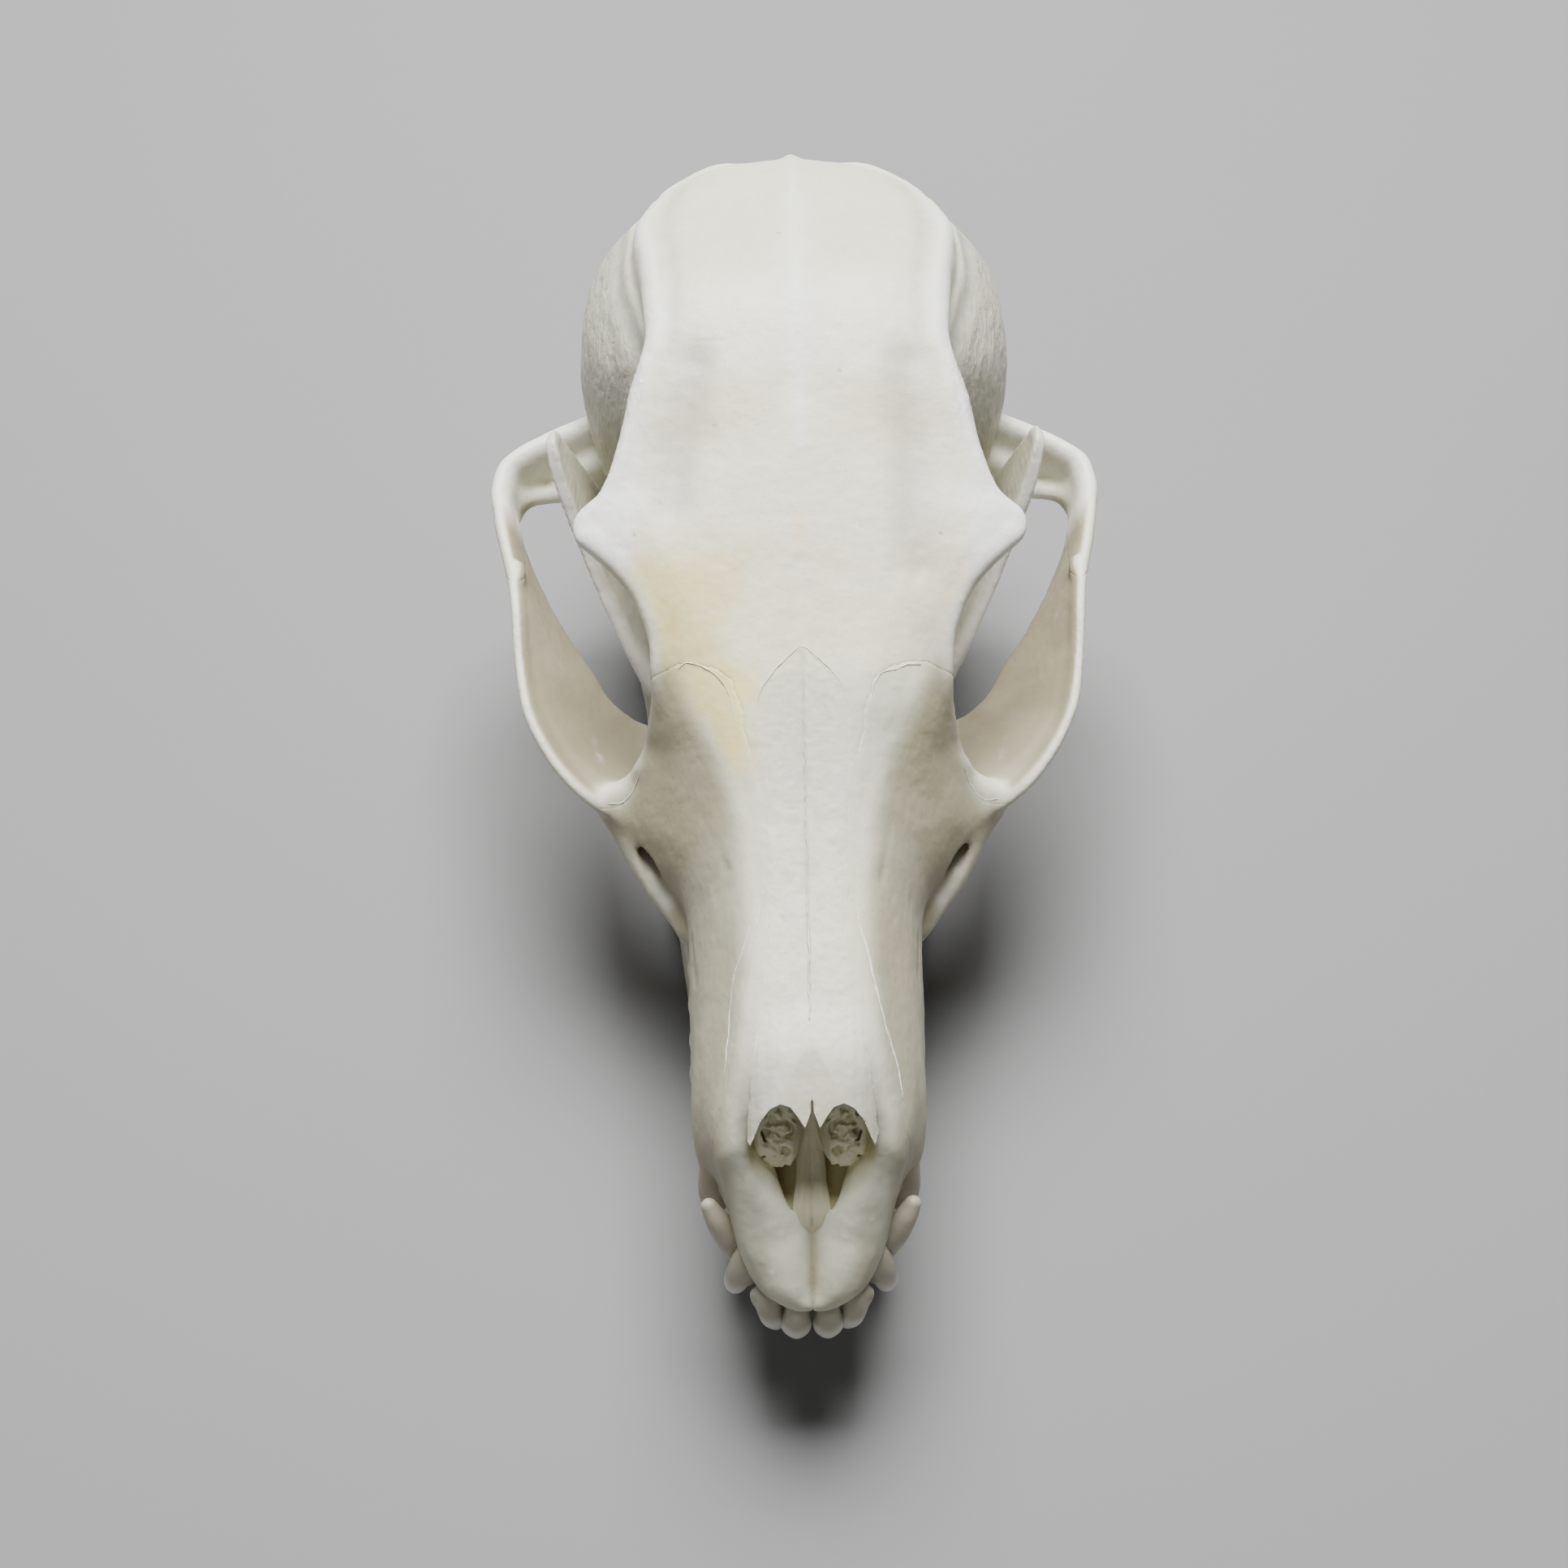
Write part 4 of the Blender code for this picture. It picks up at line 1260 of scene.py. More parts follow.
    # The stations that the nasals' slope is measured between, and how it steepens ahead of them.
    nasal_slope: tuple[float, float] = (13.0, 17.0)
    nasal_droop: float = 0.012
    fissure: Knots = (
        (1, 13), (3.7, 13), (3.6, 11.4), (3.3, 9.8), (3, 8.8), (2.75, 7.95), (2.5, 7.2), (2.25, 6.5),
        (1.9, 5.95), (1.55, 5.75), (1.3, 6.2), (1.35, 7.2), (1.1, 8.2), (1.3, 9.4), (1, 10.6),
    )

    def rail_points(self, rail: Knots, stations: Array) -> Array:
        """Where a rail meets the slanted cuts at some stations, one (x, s, z) row each."""
        lean = smooth(self.slant, 1, stations)
        s = stations.copy()
        for _ in range(40):
            s = 0.5 * s + 0.5 * (stations - lean * (smooth(rail, 2, s) - self.cut_height))
        return np.stack([smooth(rail, 1, s), s, smooth(rail, 2, s)], axis=-1)

    def shell(self) -> Cast:
        """The skull without its arches, as one loft along the rails."""
        count = int((self.inion - self.front_end) / self.station_step)
        stations = np.linspace(self.front_end, self.inion, count)
        half = (self.shoulder, self.ridge, self.under_ridge, self.upper_wall, self.side_line,
                self.lower_wall, self.base_edge)
        right = [self.rail_points(rail, stations) for rail in half]
        left = [points * (-1, 1, 1) for points in reversed(right)]
        rings = [self.rail_points(self.crest, stations), *right, self.rail_points(self.base, stations),
                 *left]
        return loft(rounded(np.stack(rings, axis=1), 2))

    def arch_edge(self, edge: Knots, column: int, along: Array) -> Array:
        """A column of one of the arch's edges, where along counts its points."""
        knots = tuple((i, row[column]) for i, row in enumerate(edge))
        return smooth(knots, 1, along)

    def arch(self) -> Cast:
        """The plate of the left cheek arch."""
        along = np.linspace(0, len(self.arch_upper) - 1, 160)
        upper = np.stack([self.arch_edge(self.arch_upper, i, along) for i in range(3)], axis=1)
        lower = np.stack([self.arch_edge(self.arch_lower, i, along) for i in range(3)], axis=1)
        thick = self.arch_edge(self.arch_upper, 3, along)
        forward = np.gradient(upper, axis=0)
        down = lower - upper
        across = np.cross(forward, down)
        across *= (thick / 2 / np.linalg.norm(across, axis=1))[:, None]
        ring = [upper + v * down + u * across for v, u in self.arch_outline]
        return loft(rounded(np.stack(ring, axis=1), 1))

    def arch_rim(self, first: float, last: float) -> Rod:
        """The thick rounded rim on the upper edge of the arch, between two of its points."""
        along = np.linspace(first, last, 40)
        rows = [self.arch_edge(self.arch_upper, i, along) for i in range(3)]
        down = np.stack([self.arch_edge(self.arch_lower, i, along) - rows[i] for i in range(3)])
        down /= np.linalg.norm(down, axis=0)
        radius = self.rim_radius * np.clip(np.minimum(along - first, last - along) + 0.55, 0, 1)
        rows = [row + radius * 0.75 * part for row, part in zip(rows, down)]
        return Rod(tuple(zip(*rows, radius)))

    def bones(self) -> Volume:
        """Half of the cranium as a block, all bones still in one and without its hollows."""
        half = Volume((0, -4, -12), (35.5, 124, 40.5), self.voxel)
        half.unite(self.shell())
        half.unite(self.arch(), blend=1.6)
        half.unite(self.arch_rim(1.2, 9.0), blend=1.0)
        self.add_base(half)
        self.add_relief(half)
        return half

    def add_base(self, half: Volume) -> None:
        """The ear capsules, knobs and points under and behind the braincase."""
        half.unite(Egg((11.2, 101, 1.6), (6.3, 9.2, 7.4), (8, 0, -12)), blend=1.6)
        half.add_bar(1.4, (13.5, 96.5, 4.5, 2.2), (18.6, 99.6, 7.6, 2.3), spacing=0.5)
        half.unite(Egg((6, 114.8, 10.2), (3.2, 4, 4.6), (-20, 0, 25)), blend=1.0)
        half.add_bar(1.2, (21.4, 97.6, 8, 1.6), (21.4, 98, 3.6, 1.4), (21, 97.9, 0.9, 0.8))
        half.add_bar(1.8, (13, 108.2, 12, 2.6), (13.2, 109.6, 4, 1.9), (13.4, 110.6, -2, 0.9))
        half.unite(Egg((17.2, 105.6, 11), (2.8, 3.6, 4.4)), blend=1.6)
        for path in (
            ((6.4, 61.4, 3, 0.9), (6.6, 66, 4.2, 0.75), (6.9, 72, 5, 0.75), (7.3, 77.6, 7.4, 0.8)),
            ((6.4, 62, 1.8, 0.8), (6.7, 67, 1, 0.6), (7, 72.4, 0.8, 0.5), (7.2, 74.6, 0.2, 0.4)),
            ((6.6, 66, 2.8, 0.7), (6.9, 71, 2.9, 0.6), (7.2, 75.6, 4.6, 0.6)),
        ):
            half.add_bar(1.6, *path)
        half.add_bar(1.6, (0, 64, 8, 0.9), (0, 80, 7.2, 0.8), (0, 98, 6.4, 0.7))
        half.add_bar(0.9, (0, 104, 36.4, 0.5), (0, 112, 33.7, 0.6), (0, 116.9, 30.6, 0.85),
                     (0, 118.7, 29.2, 0.95), (0, 118.3, 25, 0.7), (0, 116.8, 20, 0.5))

    def add_relief(self, half: Volume) -> None:
        """The beads on the brow and nape, the swellings over the roots, and the rims of the orbits."""
        rail = [row for row in self.ridge if 66 < row[0] < 120]
        bead = [(x - 0.35, s, z - 0.55, 0.75 + 0.4 * float(ease(74, 92, s)) * float(fall(98, 109, s)))
                for s, x, z in rail if s < 119]
        half.add_bar(1.0, (20.9, 65.6, 26.7, 0.6), *bead, (0, 119, 28.6, 0.6))
        groove = []
        for s, x, z in self.under_ridge:
            if 72 <= s <= 112:
                top, height = (float(smooth(self.ridge, i, np.array(s))) for i in (1, 2))
                groove.append((0.45 * top + 0.55 * x + 0.75, s, 0.45 * height + 0.55 * z + 0.35, 0.55))
        half.cut_bar(1.0, *groove)
        rim = (
            (18.8, 47.2, 8.6, 0.8), (16.4, 48.4, 9.8, 0.8), (14.9, 49.5, 12, 0.8), (14.2, 50.2, 14.8, 0.8),
            (13.7, 51, 17.4, 0.8), (13.3, 52.6, 20, 0.8), (13.4, 55, 21.6, 0.8), (14.6, 58.4, 23.6, 0.8),
            (17.2, 62, 25.2, 0.8), (20.3, 64.6, 26.2, 0.7),
        )
        half.add_bar(1.4, *rim)
        nape = (
            (3, 117.6, 28.6, 0.5), (7.6, 115.9, 28.8, 0.6), (11.4, 112.8, 28.6, 0.6),
            (14.2, 109.2, 27, 0.55), (17.2, 107, 24.4, 0.7), (19.2, 106.2, 20, 0.95),
            (19.8, 105.4, 15, 0.95), (18.2, 105.4, 11, 0.95),
        )
        half.add_bar(1.4, *nape)
        half.add_bar(1.4, (8.1, 12.8, 1.4, 1.75), (8.5, 15.6, 5, 1.65), (8.2, 20.5, 8, 1.3))
        half.unite(Egg((28.9, 72.6, 13.3), (0.8, 1.7, 0.6)), blend=0.6)
        for x, s, r in ((9.4, 17.6, 1), (9.6, 21.4, 1.1), (9.7, 25, 1.1), (9.8, 28.8, 1.1),
                        (9.8, 32.8, 1.1), (11.2, 38, 1.1), (13.6, 43.4, 1.5)):
            half.add_bar(1.2, (x, s, 0.3, r), (x - 0.4, s + 0.4, 3.4, r * 0.7))
        half.add_bar(1.2, (11.4, 35.4, 2.6, 0.9), (12.6, 37.4, 3.4, 1.1), (14.2, 39.8, 4.2, 1.4),
                     (15.6, 42.2, 5, 1.5), (16.8, 44.4, 5.9, 1.5), (18.6, 46.8, 6.8, 1.4))
        half.add_bar(2.2, (19, 93, 10, 1.6), (21.6, 92.6, 9, 1.4), (25, 91.8, 8, 1.2))
        half.add_bar(1.6, (30.3, 89.6, 6.6, 0.8), (28.2, 90.4, 6.4, 0.9), (24, 90.8, 6.4, 0.9),
                     (20.6, 91.6, 7, 0.9))

    def cut_hollows(self, half: Volume) -> None:
        """The nose, throat, canals, sockets and the hole for the spine."""
        half.cut_bar(1.2, (0, 7.6, 5.6, 0.9), (0, 4.6, 4.2, 0.8), (0, 1.8, 2.6, 0.55), (0, -0.6, 1, 0.4),
                     spacing=0.5)
        half.carve(Egg((0, 13.4, 9.4), (5.4, 9.2, 6.4), (12, 0, 0)), blend=0.8)
        half.carve(Egg((0, 9.2, 10.2), (5.3, 6.8, 6.4), (24, 0, 0)), blend=1.0)
        half.add_bar(2.2, (4.9, 11, 7.2, 0.7), (4.6, 9.2, 6.4, 1.1), (4.2, 7.2, 5.2, 1.2),
                     (3.7, 5.6, 3.9, 1), spacing=0.5)
        half.carve(Egg((0, 30, 8.4), (5.4, 22, 5.2), (6, 0, 0)), blend=0.5)
        half.carve(Prism(self.fissure, -4.0, 9.0), blend=0.2)
        half.carve(Egg((0, 62, 5.2), (4.6, 9, 2.4)), blend=0.8)
        half.cut_bar(0.4, (13.8, 37.2, 5.8, 0.4), (14.5, 38.9, 6.3, 0.9), (14.8, 40.4, 6.6, 1),
                     (15, 42.4, 6.6, 0.95), (15.2, 47, 7.2, 1.2), (15.2, 51, 8.2, 1.5))
        for path in (
            ((15.8, 52.4, 14.6, 0.6), (13, 50.6, 14, 0.6)),
            ((10.6, 75, 9.8, 1.1), (7.4, 79, 10.2, 0.9)),
            ((10.4, 76.6, 12.4, 1.2), (7, 80.6, 12.6, 1)),
            ((10.8, 78, 7.8, 0.8), (8.4, 83.4, 8.4, 0.8)),
            ((11.4, 62, 16.4, 0.45), (8, 62.6, 16, 0.45)),
            ((13.6, 90.6, 5.4, 1.3), (11.6, 92, 9, 1)),
            ((20.8, 101, 8, 1.75), (16.4, 100.6, 6.6, 1.6), (14.4, 100, 4.6, 1.8)),
            ((10.4, 111.4, 6, 1), (8.4, 110, 9, 0.9)),
            ((9.4, 113.6, 8.4, 0.7), (7.6, 112, 11, 0.6)),
            ((6.2, 43, -2, 0.45), (6.2, 43.6, 2.4, 0.45)),
            ((6.6, 50, -1.6, 0.35), (6.6, 50.4, 2, 0.35)),
        ):
            half.cut_bar(0.4, *path, spacing=0.5)
        half.cut_bar(0.4, *self.condyle_ends, spacing=1)
        half.carve(Egg((0, 118.4, 14), (5.2, 8, 4.5), (23, 0, 0)), blend=0.6)
        half.carve(Egg((0, 104, 18.6), (13, 13, 11)), blend=1.0)

    def marks(self) -> list[Mark]:
        """What the photo shows on each side of the skull, side by side: stains, pale bits and grooves, with
        painted highlights along ridges and on the front lobes and painted shade in troughs, grooves and
        pits.
        """
        rim = tuple((x - 0.35, s, z - 0.1) for s, x, z in self.ridge if 60 < s < 118.5)
        back = tuple((x - 2.4, s, z + 0.2) for s, x, z in self.ridge if 70 < s < 112)
        foot = tuple((x + 0.7, s, z - 0.4) for s, x, z in self.under_ridge if 70 < s < 112)
        left = [
            # Along the brow ridge: a painted highlight on its crest, a groove at its foot greyed as painted
            # shade, and a painted grey shadow along its inner side.
            Mark(rim, 0.8, 0.06, Mask.PALE, 0.9, 1.0),
            Mark(foot, 0.9, -0.14, Mask.GREY, 0.9, 1.2),
            Mark(back, 1.0, -0.06, Mask.GREY, 0.35, 1.2, 0.3),
            Mark(((10.6, 30.8, 8.4), (10, 26, 9)), 0.5, -0.1, Mask.TAN, 0.2, 1.4, 0.3),
            Mark(((15.9, 49, 9.6), (15.3, 50, 11.8)), 0.4, -0.2, Mask.TAN, 0.8, 1.3, 0.2),
            # The opening of the canal under the eye: warm brown, darkened inside with painted shade.
            Mark(((14.6, 40, 6.9), (15, 43, 7)), 1.1, 0, Mask.WARM, 0.9, 1),
            Mark(((14.6, 39.4, 6.5), (15, 43, 6.7)), 1, 0, Mask.DARK, 0.4, 1),
            Mark(((15.6, 41.6, 5.2), (13.2, 37.6, 4.6)), 0.8, 0, Mask.PALE, 0.6, 1),
            Mark(((26.4, 68.3, 11.4), (25.2, 66, 10.2), (23.8, 63.9, 8.7)), 0.3, 0.12,
                 Mask.PALE, 0.3, 1.2, 0.2),
            Mark(((22.7, 66.4, 7.1), (21.2, 59, 7.9), (19.7, 51.7, 8.7)), 0.3, 0.16,
                 Mask.PALE, 0.35, 1.2, 0.3),
        ]
        return left + [mark.flipped() for mark in left] + [
            Mark(((0, 113, 33.4), (0, 100, 37.4), (0, 88, 37.2), (0, 72, 31.8)), 0.8, 0.10,
                 Mask.PALE, 0.6, 1.3),
            Mark(((0, 7.4, 4.2), (0, 4.4, 3.2), (0, 2.6, 2.4)), 1.1, 0, Mask.GREY, 0.9, 1, 0.2),
            # The valley between the front lobes and its midline crease, darkened with painted shade.
            Mark(((0, 6.6, 3.8), (0, 3.4, 2.8), (0, 0.2, 1.2)), 0.36, -0.2, Mask.TAN, 0.85, 1.3),
            Mark(((0, 4.8, 3.4), (0, 2, 2), (0, -1, 0)), 0.16, -0.12, Mask.DARK, 0.6),
            # Small pale spots, painted highlights on the rounded front of the upper jaw.
            *(Mark((spot,), 0.24, 0.06, Mask.PALE, 0.9) for spot in (
                (5.2, 4.3, 5.4), (-2.6, 3.6, 4.2), (2.7, 3.4, 4.1), (-3.6, 0.9, 2.4), (6.4, 9.2, 9.6))),
            Mark(((-8.2, 33, 13.6), (-7.6, 31, 13.4)), 0.4, 0.08, Mask.PALE, 0.6, 1, 0.3),
            Mark(((-7.6, 14.6, 11), (-7.9, 12.4, 9.4)), 0.35, 0.1, Mask.PALE, 0.8, 1, 0.2),
            # The shallow troughs on the forehead's sides, greyed with painted shade.
            Mark(((-10.2, 80, 34.6), (-11.3, 74.6, 32.3), (-11.9, 70.7, 30.7), (-12.2, 66.8, 29.3)),
                 2.2, -0.6, Mask.GREY, 1.1, 1.15),
            Mark(((10.6, 80, 34.4), (11, 72.8, 31.6), (11, 68, 29.9), (11.2, 61.1, 27.1)), 2.2, -0.6,
                 Mask.GREY, 1.0, 1.15),
            Mark(((-13.6, 58.6, 24.8), (-11.5, 58, 25.4), (-8.6, 59, 26.4)), 3.4, 0,
                 Mask.WARM, 1.4, 1, 0.9),
            Mark(((-12.4, 55.6, 23.6), (-10.5, 52.2, 22.7), (-7.6, 49.4, 22.4)), 3, 0,
                 Mask.WARM, 1.4, 1, 0.9),
            Mark(((-7.2, 48.6, 22), (-6.4, 43.4, 20.3)), 1.7, 0, Mask.WARM, 1.2, 1, 0.6),
            Mark(((-0.3, 65.2, 28.8), (-0.2, 63.6, 28.2)), 0.5, 0, Mask.WARM, 0.55, 1.2, 0.3),
            Mark(((0, 61, 27.2), (0, 56, 25)), 0.7, -0.06, Mask.PALE, 0.3, 1),
            Mark(((-10.1, 39.5, 16.2), (-8.6, 36.4, 16.4), (-7.5, 33.7, 16.1)), 0.5, -0.3,
                 Mask.GREY, 0.25, 2),
            Mark(((8.6, 38.4, 17.2), (7.8, 35.4, 16.7), (7.1, 32.5, 16.1)), 0.5, -0.3, Mask.GREY, 0.25, 2),
            Mark(((-10.2, 44, 19.5), (-10.6, 40, 16.6)), 2.4, -0.1, Mask.GREY, 0.3, 1, 0.6),
            Mark(((10, 46, 20.4), (10.4, 41.6, 17.4)), 2.6, -0.15, Mask.GREY, 0.4, 1, 0.6),
            Mark(((0, 53, 23.6), (0, 40, 19.6), (0, 30, 17.6), (0, 12.5, 15.2)), 0.2, -0.08,
                 Mask.TAN, 0.25),
            Mark(((0, 50, 23), (0, 36, 18.8), (0, 20, 16.4)), 2.6, -0.16, Mask.GREY, 0.1, 1.3, 0.5),
            Mark(((-10.1, 82.8, 35.4), (-7.1, 82.4, 35.7)), 0.14, -0.05, Mask.DARK, 0.35),
            # Small pits, darkened with painted shade.
            *(Mark((spot,), 0.16, -0.04, Mask.DARK, 0.8) for spot in (
                (-1.7, 95.8, 37.8), (-8.1, 74, 32.4), (-13.4, 67.1, 29.2), (-15.7, 64, 27.9),
                (14.1, 72.3, 31), (13.3, 63.8, 28.1), (4, 79, 34.6))),
        ]

    def tint(self, masks: dict[Mask, Array], points: Array, normals: Array) -> None:
        """Colour the bone by region, with painted shade on faces turned from the light and painted
        highlights on upward faces.

        Args:
            masks: its masks, of which those of edges and hollows hold the paler edges and the painted
                hollow shade already.
            points: its points.
            normals: the way outwards at each.
        """
        x, s, z = np.abs(points[:, 0]), points[:, 1], points[:, 2]
        outward, upward = normals[:, 0] * np.sign(points[:, 0]), normals[:, 2]
        nasal = smooth(self.nasal_side, 1, s)
        cheek = ease(14, 17, x) * ease(44, 48, s) * fall(79, 86, s)
        facing = ease(-0.25, 0.6, -outward)
        flank = ease(nasal + 0.4, nasal + 3.4, x) * fall(51, 56, s) * (1 - cheek)
        inside = fall(5.2, 6.0, x) * fall(12.0, 13.4, z) * fall(13, 20, s) * ease(6.5, 9.0, s)
        front = fall(8.0, 12.0, s)
        nasals = fall(nasal, nasal + 1.6, x) * ease(8, 9, s)
        brow = ease(14.5, 17.5, x) * ease(58, 62, s) * fall(68, 74, s) * ease(20, 24, z)
        orbit = ease(50, 54, s) * fall(80, 92, s) * fall(13.5, 16, x) * ease(0.3, 0.8, 1 - upward)
        root = ease(83, 88, s) * ease(21.5, 24, x)
        # How much of the painted shade is kept: less inside the nose and on the arch's root.
        shade_kept = (1 - 0.85 * inside) * (1 - 0.7 * root)
        beyond = x - smooth(self.under_ridge, 1, s) - 0.3
        masks[Mask.EDGE] *= (1 - 0.95 * cheek * ease(-0.15, 0.3, -outward)) * (1 - 0.5 * cheek)
        masks[Mask.EDGE] *= (1 - 0.7 * flank) * (1 - inside) * (0.12 + 0.88 * ease(14, 24, s))
        masks[Mask.HOLLOW] *= shade_kept
        # Painted shade on the inner faces of the cheek arches.
        masks[Mask.DARK] += 0.3 * cheek * facing
        masks[Mask.FIBRE] += 0.14 * flank
        masks[Mask.FIBRE] += ease(0.0, 1.6, beyond) * ease(72, 80, s) * ease(10, 16, z) * fall(112, 116, s)
        masks[Mask.FIBRE] *= fall(23.4, 24.6, x)
        masks[Mask.WARM] += 0.4 * inside + 0.35 * ease(50, 56, s) * fall(80, 88, s) * ease(0.6, 0.9, upward)
        # Painted light: paler on the arch's shadowed root, and painted highlights on the upward faces of
        # the brow processes and the forehead.
        masks[Mask.PALE] += 0.45 * root * ease(7.0, 8.6, z) + 0.9 * brow * ease(0.3, 0.8, upward)
        masks[Mask.PALE] += 0.5 * ease(0.85, 0.97, upward) * ease(52, 60, s) * fall(84, 92, s)
        # Grey on the fibrous walls, the front, the nasals and the braincase's top, and painted shade on the
        # muzzle's sloping flanks.
        masks[Mask.GREY] += 0.62 * masks[Mask.FIBRE] * (1 - flank) + shade_kept * (
            0.72 * flank
            + 0.3 * front * ease(2.0, 4.6, x)
            + (0.34 + 0.16 * ease(34, 42, s) + 0.75 * fall(10, 18, s)) * nasals * fall(47, 54, s)
            + 0.22 * ease(86, 94, s) * ease(0.6, 0.9, upward)
        )
        # Tan, largely painted shade: on downward faces, the cheek arches' inner and outer faces, the
        # muzzle's flanks, the lower front of the upper jaw, beside the canine and on the orbits' walls.
        masks[Mask.TAN] += 0.18 * masks[Mask.FIBRE] * (1 - flank) + shade_kept * (
            np.maximum(0.45 * ease(0.1, 0.7, -upward), cheek * facing)
            + 0.5 * cheek * ease(0.2, 0.8, outward)
            + (0.8 + 0.3 * ease(36, 40, s)) * flank
            + 0.08 * front + 0.35 * front * ease(3.2, 4.8, x) + 0.55 * fall(0.0, 5.0, s)
            + 0.9 * ease(8.2, 8.9, x) * fall(11.5, 13.5, s) * fall(3.4, 5.2, z)
            + 0.35 * nasals * fall(10, 18, s)
            + orbit * fall(20, 26, z)
        )
        masks[Mask.TAN] += 0.3 * ease(82, 85, s) * ease(19, 21, x) * fall(6.6, 8.4, z)

    def dress(self, surface: Surface, blocks: "CraniumBlocks") -> Surface:
        """Give a piece its relief and its masks.

        Args:
            surface: the piece.
            blocks: the blocks that it was cut from.
        Returns:
            The piece with masks.
        """
        points = surface.points
        normals = blocks.whole.normals(points)
        skin = ease(-0.5, -0.12, blocks.whole.read(points))
        masks = worn(points, blocks.fine, blocks.broad)
        masks[Mask.EDGE] *= skin
        self.tint(masks, points, normals)
        lift = np.zeros(len(points))
        grain = Grain(7)
        for mark in self.marks():
            mark.apply(points, lift, masks, grain)
        masks[Mask.PALE] *= 1 - 0.85 * np.clip(masks[Mask.WARM] - 0.4, 0, 1)
        lift += 0.05 * grain.at(points, 0.35, 3)
        lift += 0.07 * masks[Mask.FIBRE] * Grain(11).at(points, (1.6, 0.45, 0.6), 3)
        lift += 0.02 * Grain(13).at(points, 2.2, 2)
        lift *= skin
        if surface.cut is not None:
            lift -= self.tuck * ease(-0.36, -0.02, surface.cut)
        return Surface(points + normals * lift[:, None], surface.faces, masks)

    def build(self, material: bpy.types.Material) -> "CraniumBlocks":
        """Make the pieces of the cranium.

        Args:
            material: their finish.
        Returns:
            The blocks that the pieces were cut from, for whatever lies on them.
        """
        half = self.bones()
        roof = self.nasal_roof(half)
        self.cut_hollows(half)
        half.soften(1)
        whole = half.mirrored()
        roof = np.concatenate([roof[:0:-1], roof])
        top = whole.roof(-1.0)
        blocks = CraniumBlocks(whole, whole.coarse(0.9), whole.coarse(2.6), roof, top)
        CraniumCut(self, blocks, material).make_pieces()
        return blocks

    def nasal_roof(self, half: Volume) -> Array:
        """The height of the nasals' upper face over each place in plan, run on past the opening."""
        s, roof = half.roof(9.0)[1:]
        start, further = (int(np.argmin(np.abs(s - at))) for at in self.nasal_slope)
        beyond = s[None, :start] - s[start]
        slope = (roof[:, further] - roof[:, start]) / (s[further] - s[start])
        ahead = roof[:, start:start + 1] + slope[:, None] * beyond
        ahead -= self.nasal_droop * beyond**2
        return np.concatenate([ahead, roof[:, start:]], axis=1)


@dataclass(frozen=True)
class CraniumBlocks:
    """The cranium's block, two softened copies of it, and the height of the nasals."""

    whole: Volume
    fine: Volume
    broad: Volume
    roof: Array
    top: tuple[Array, Array, Array]


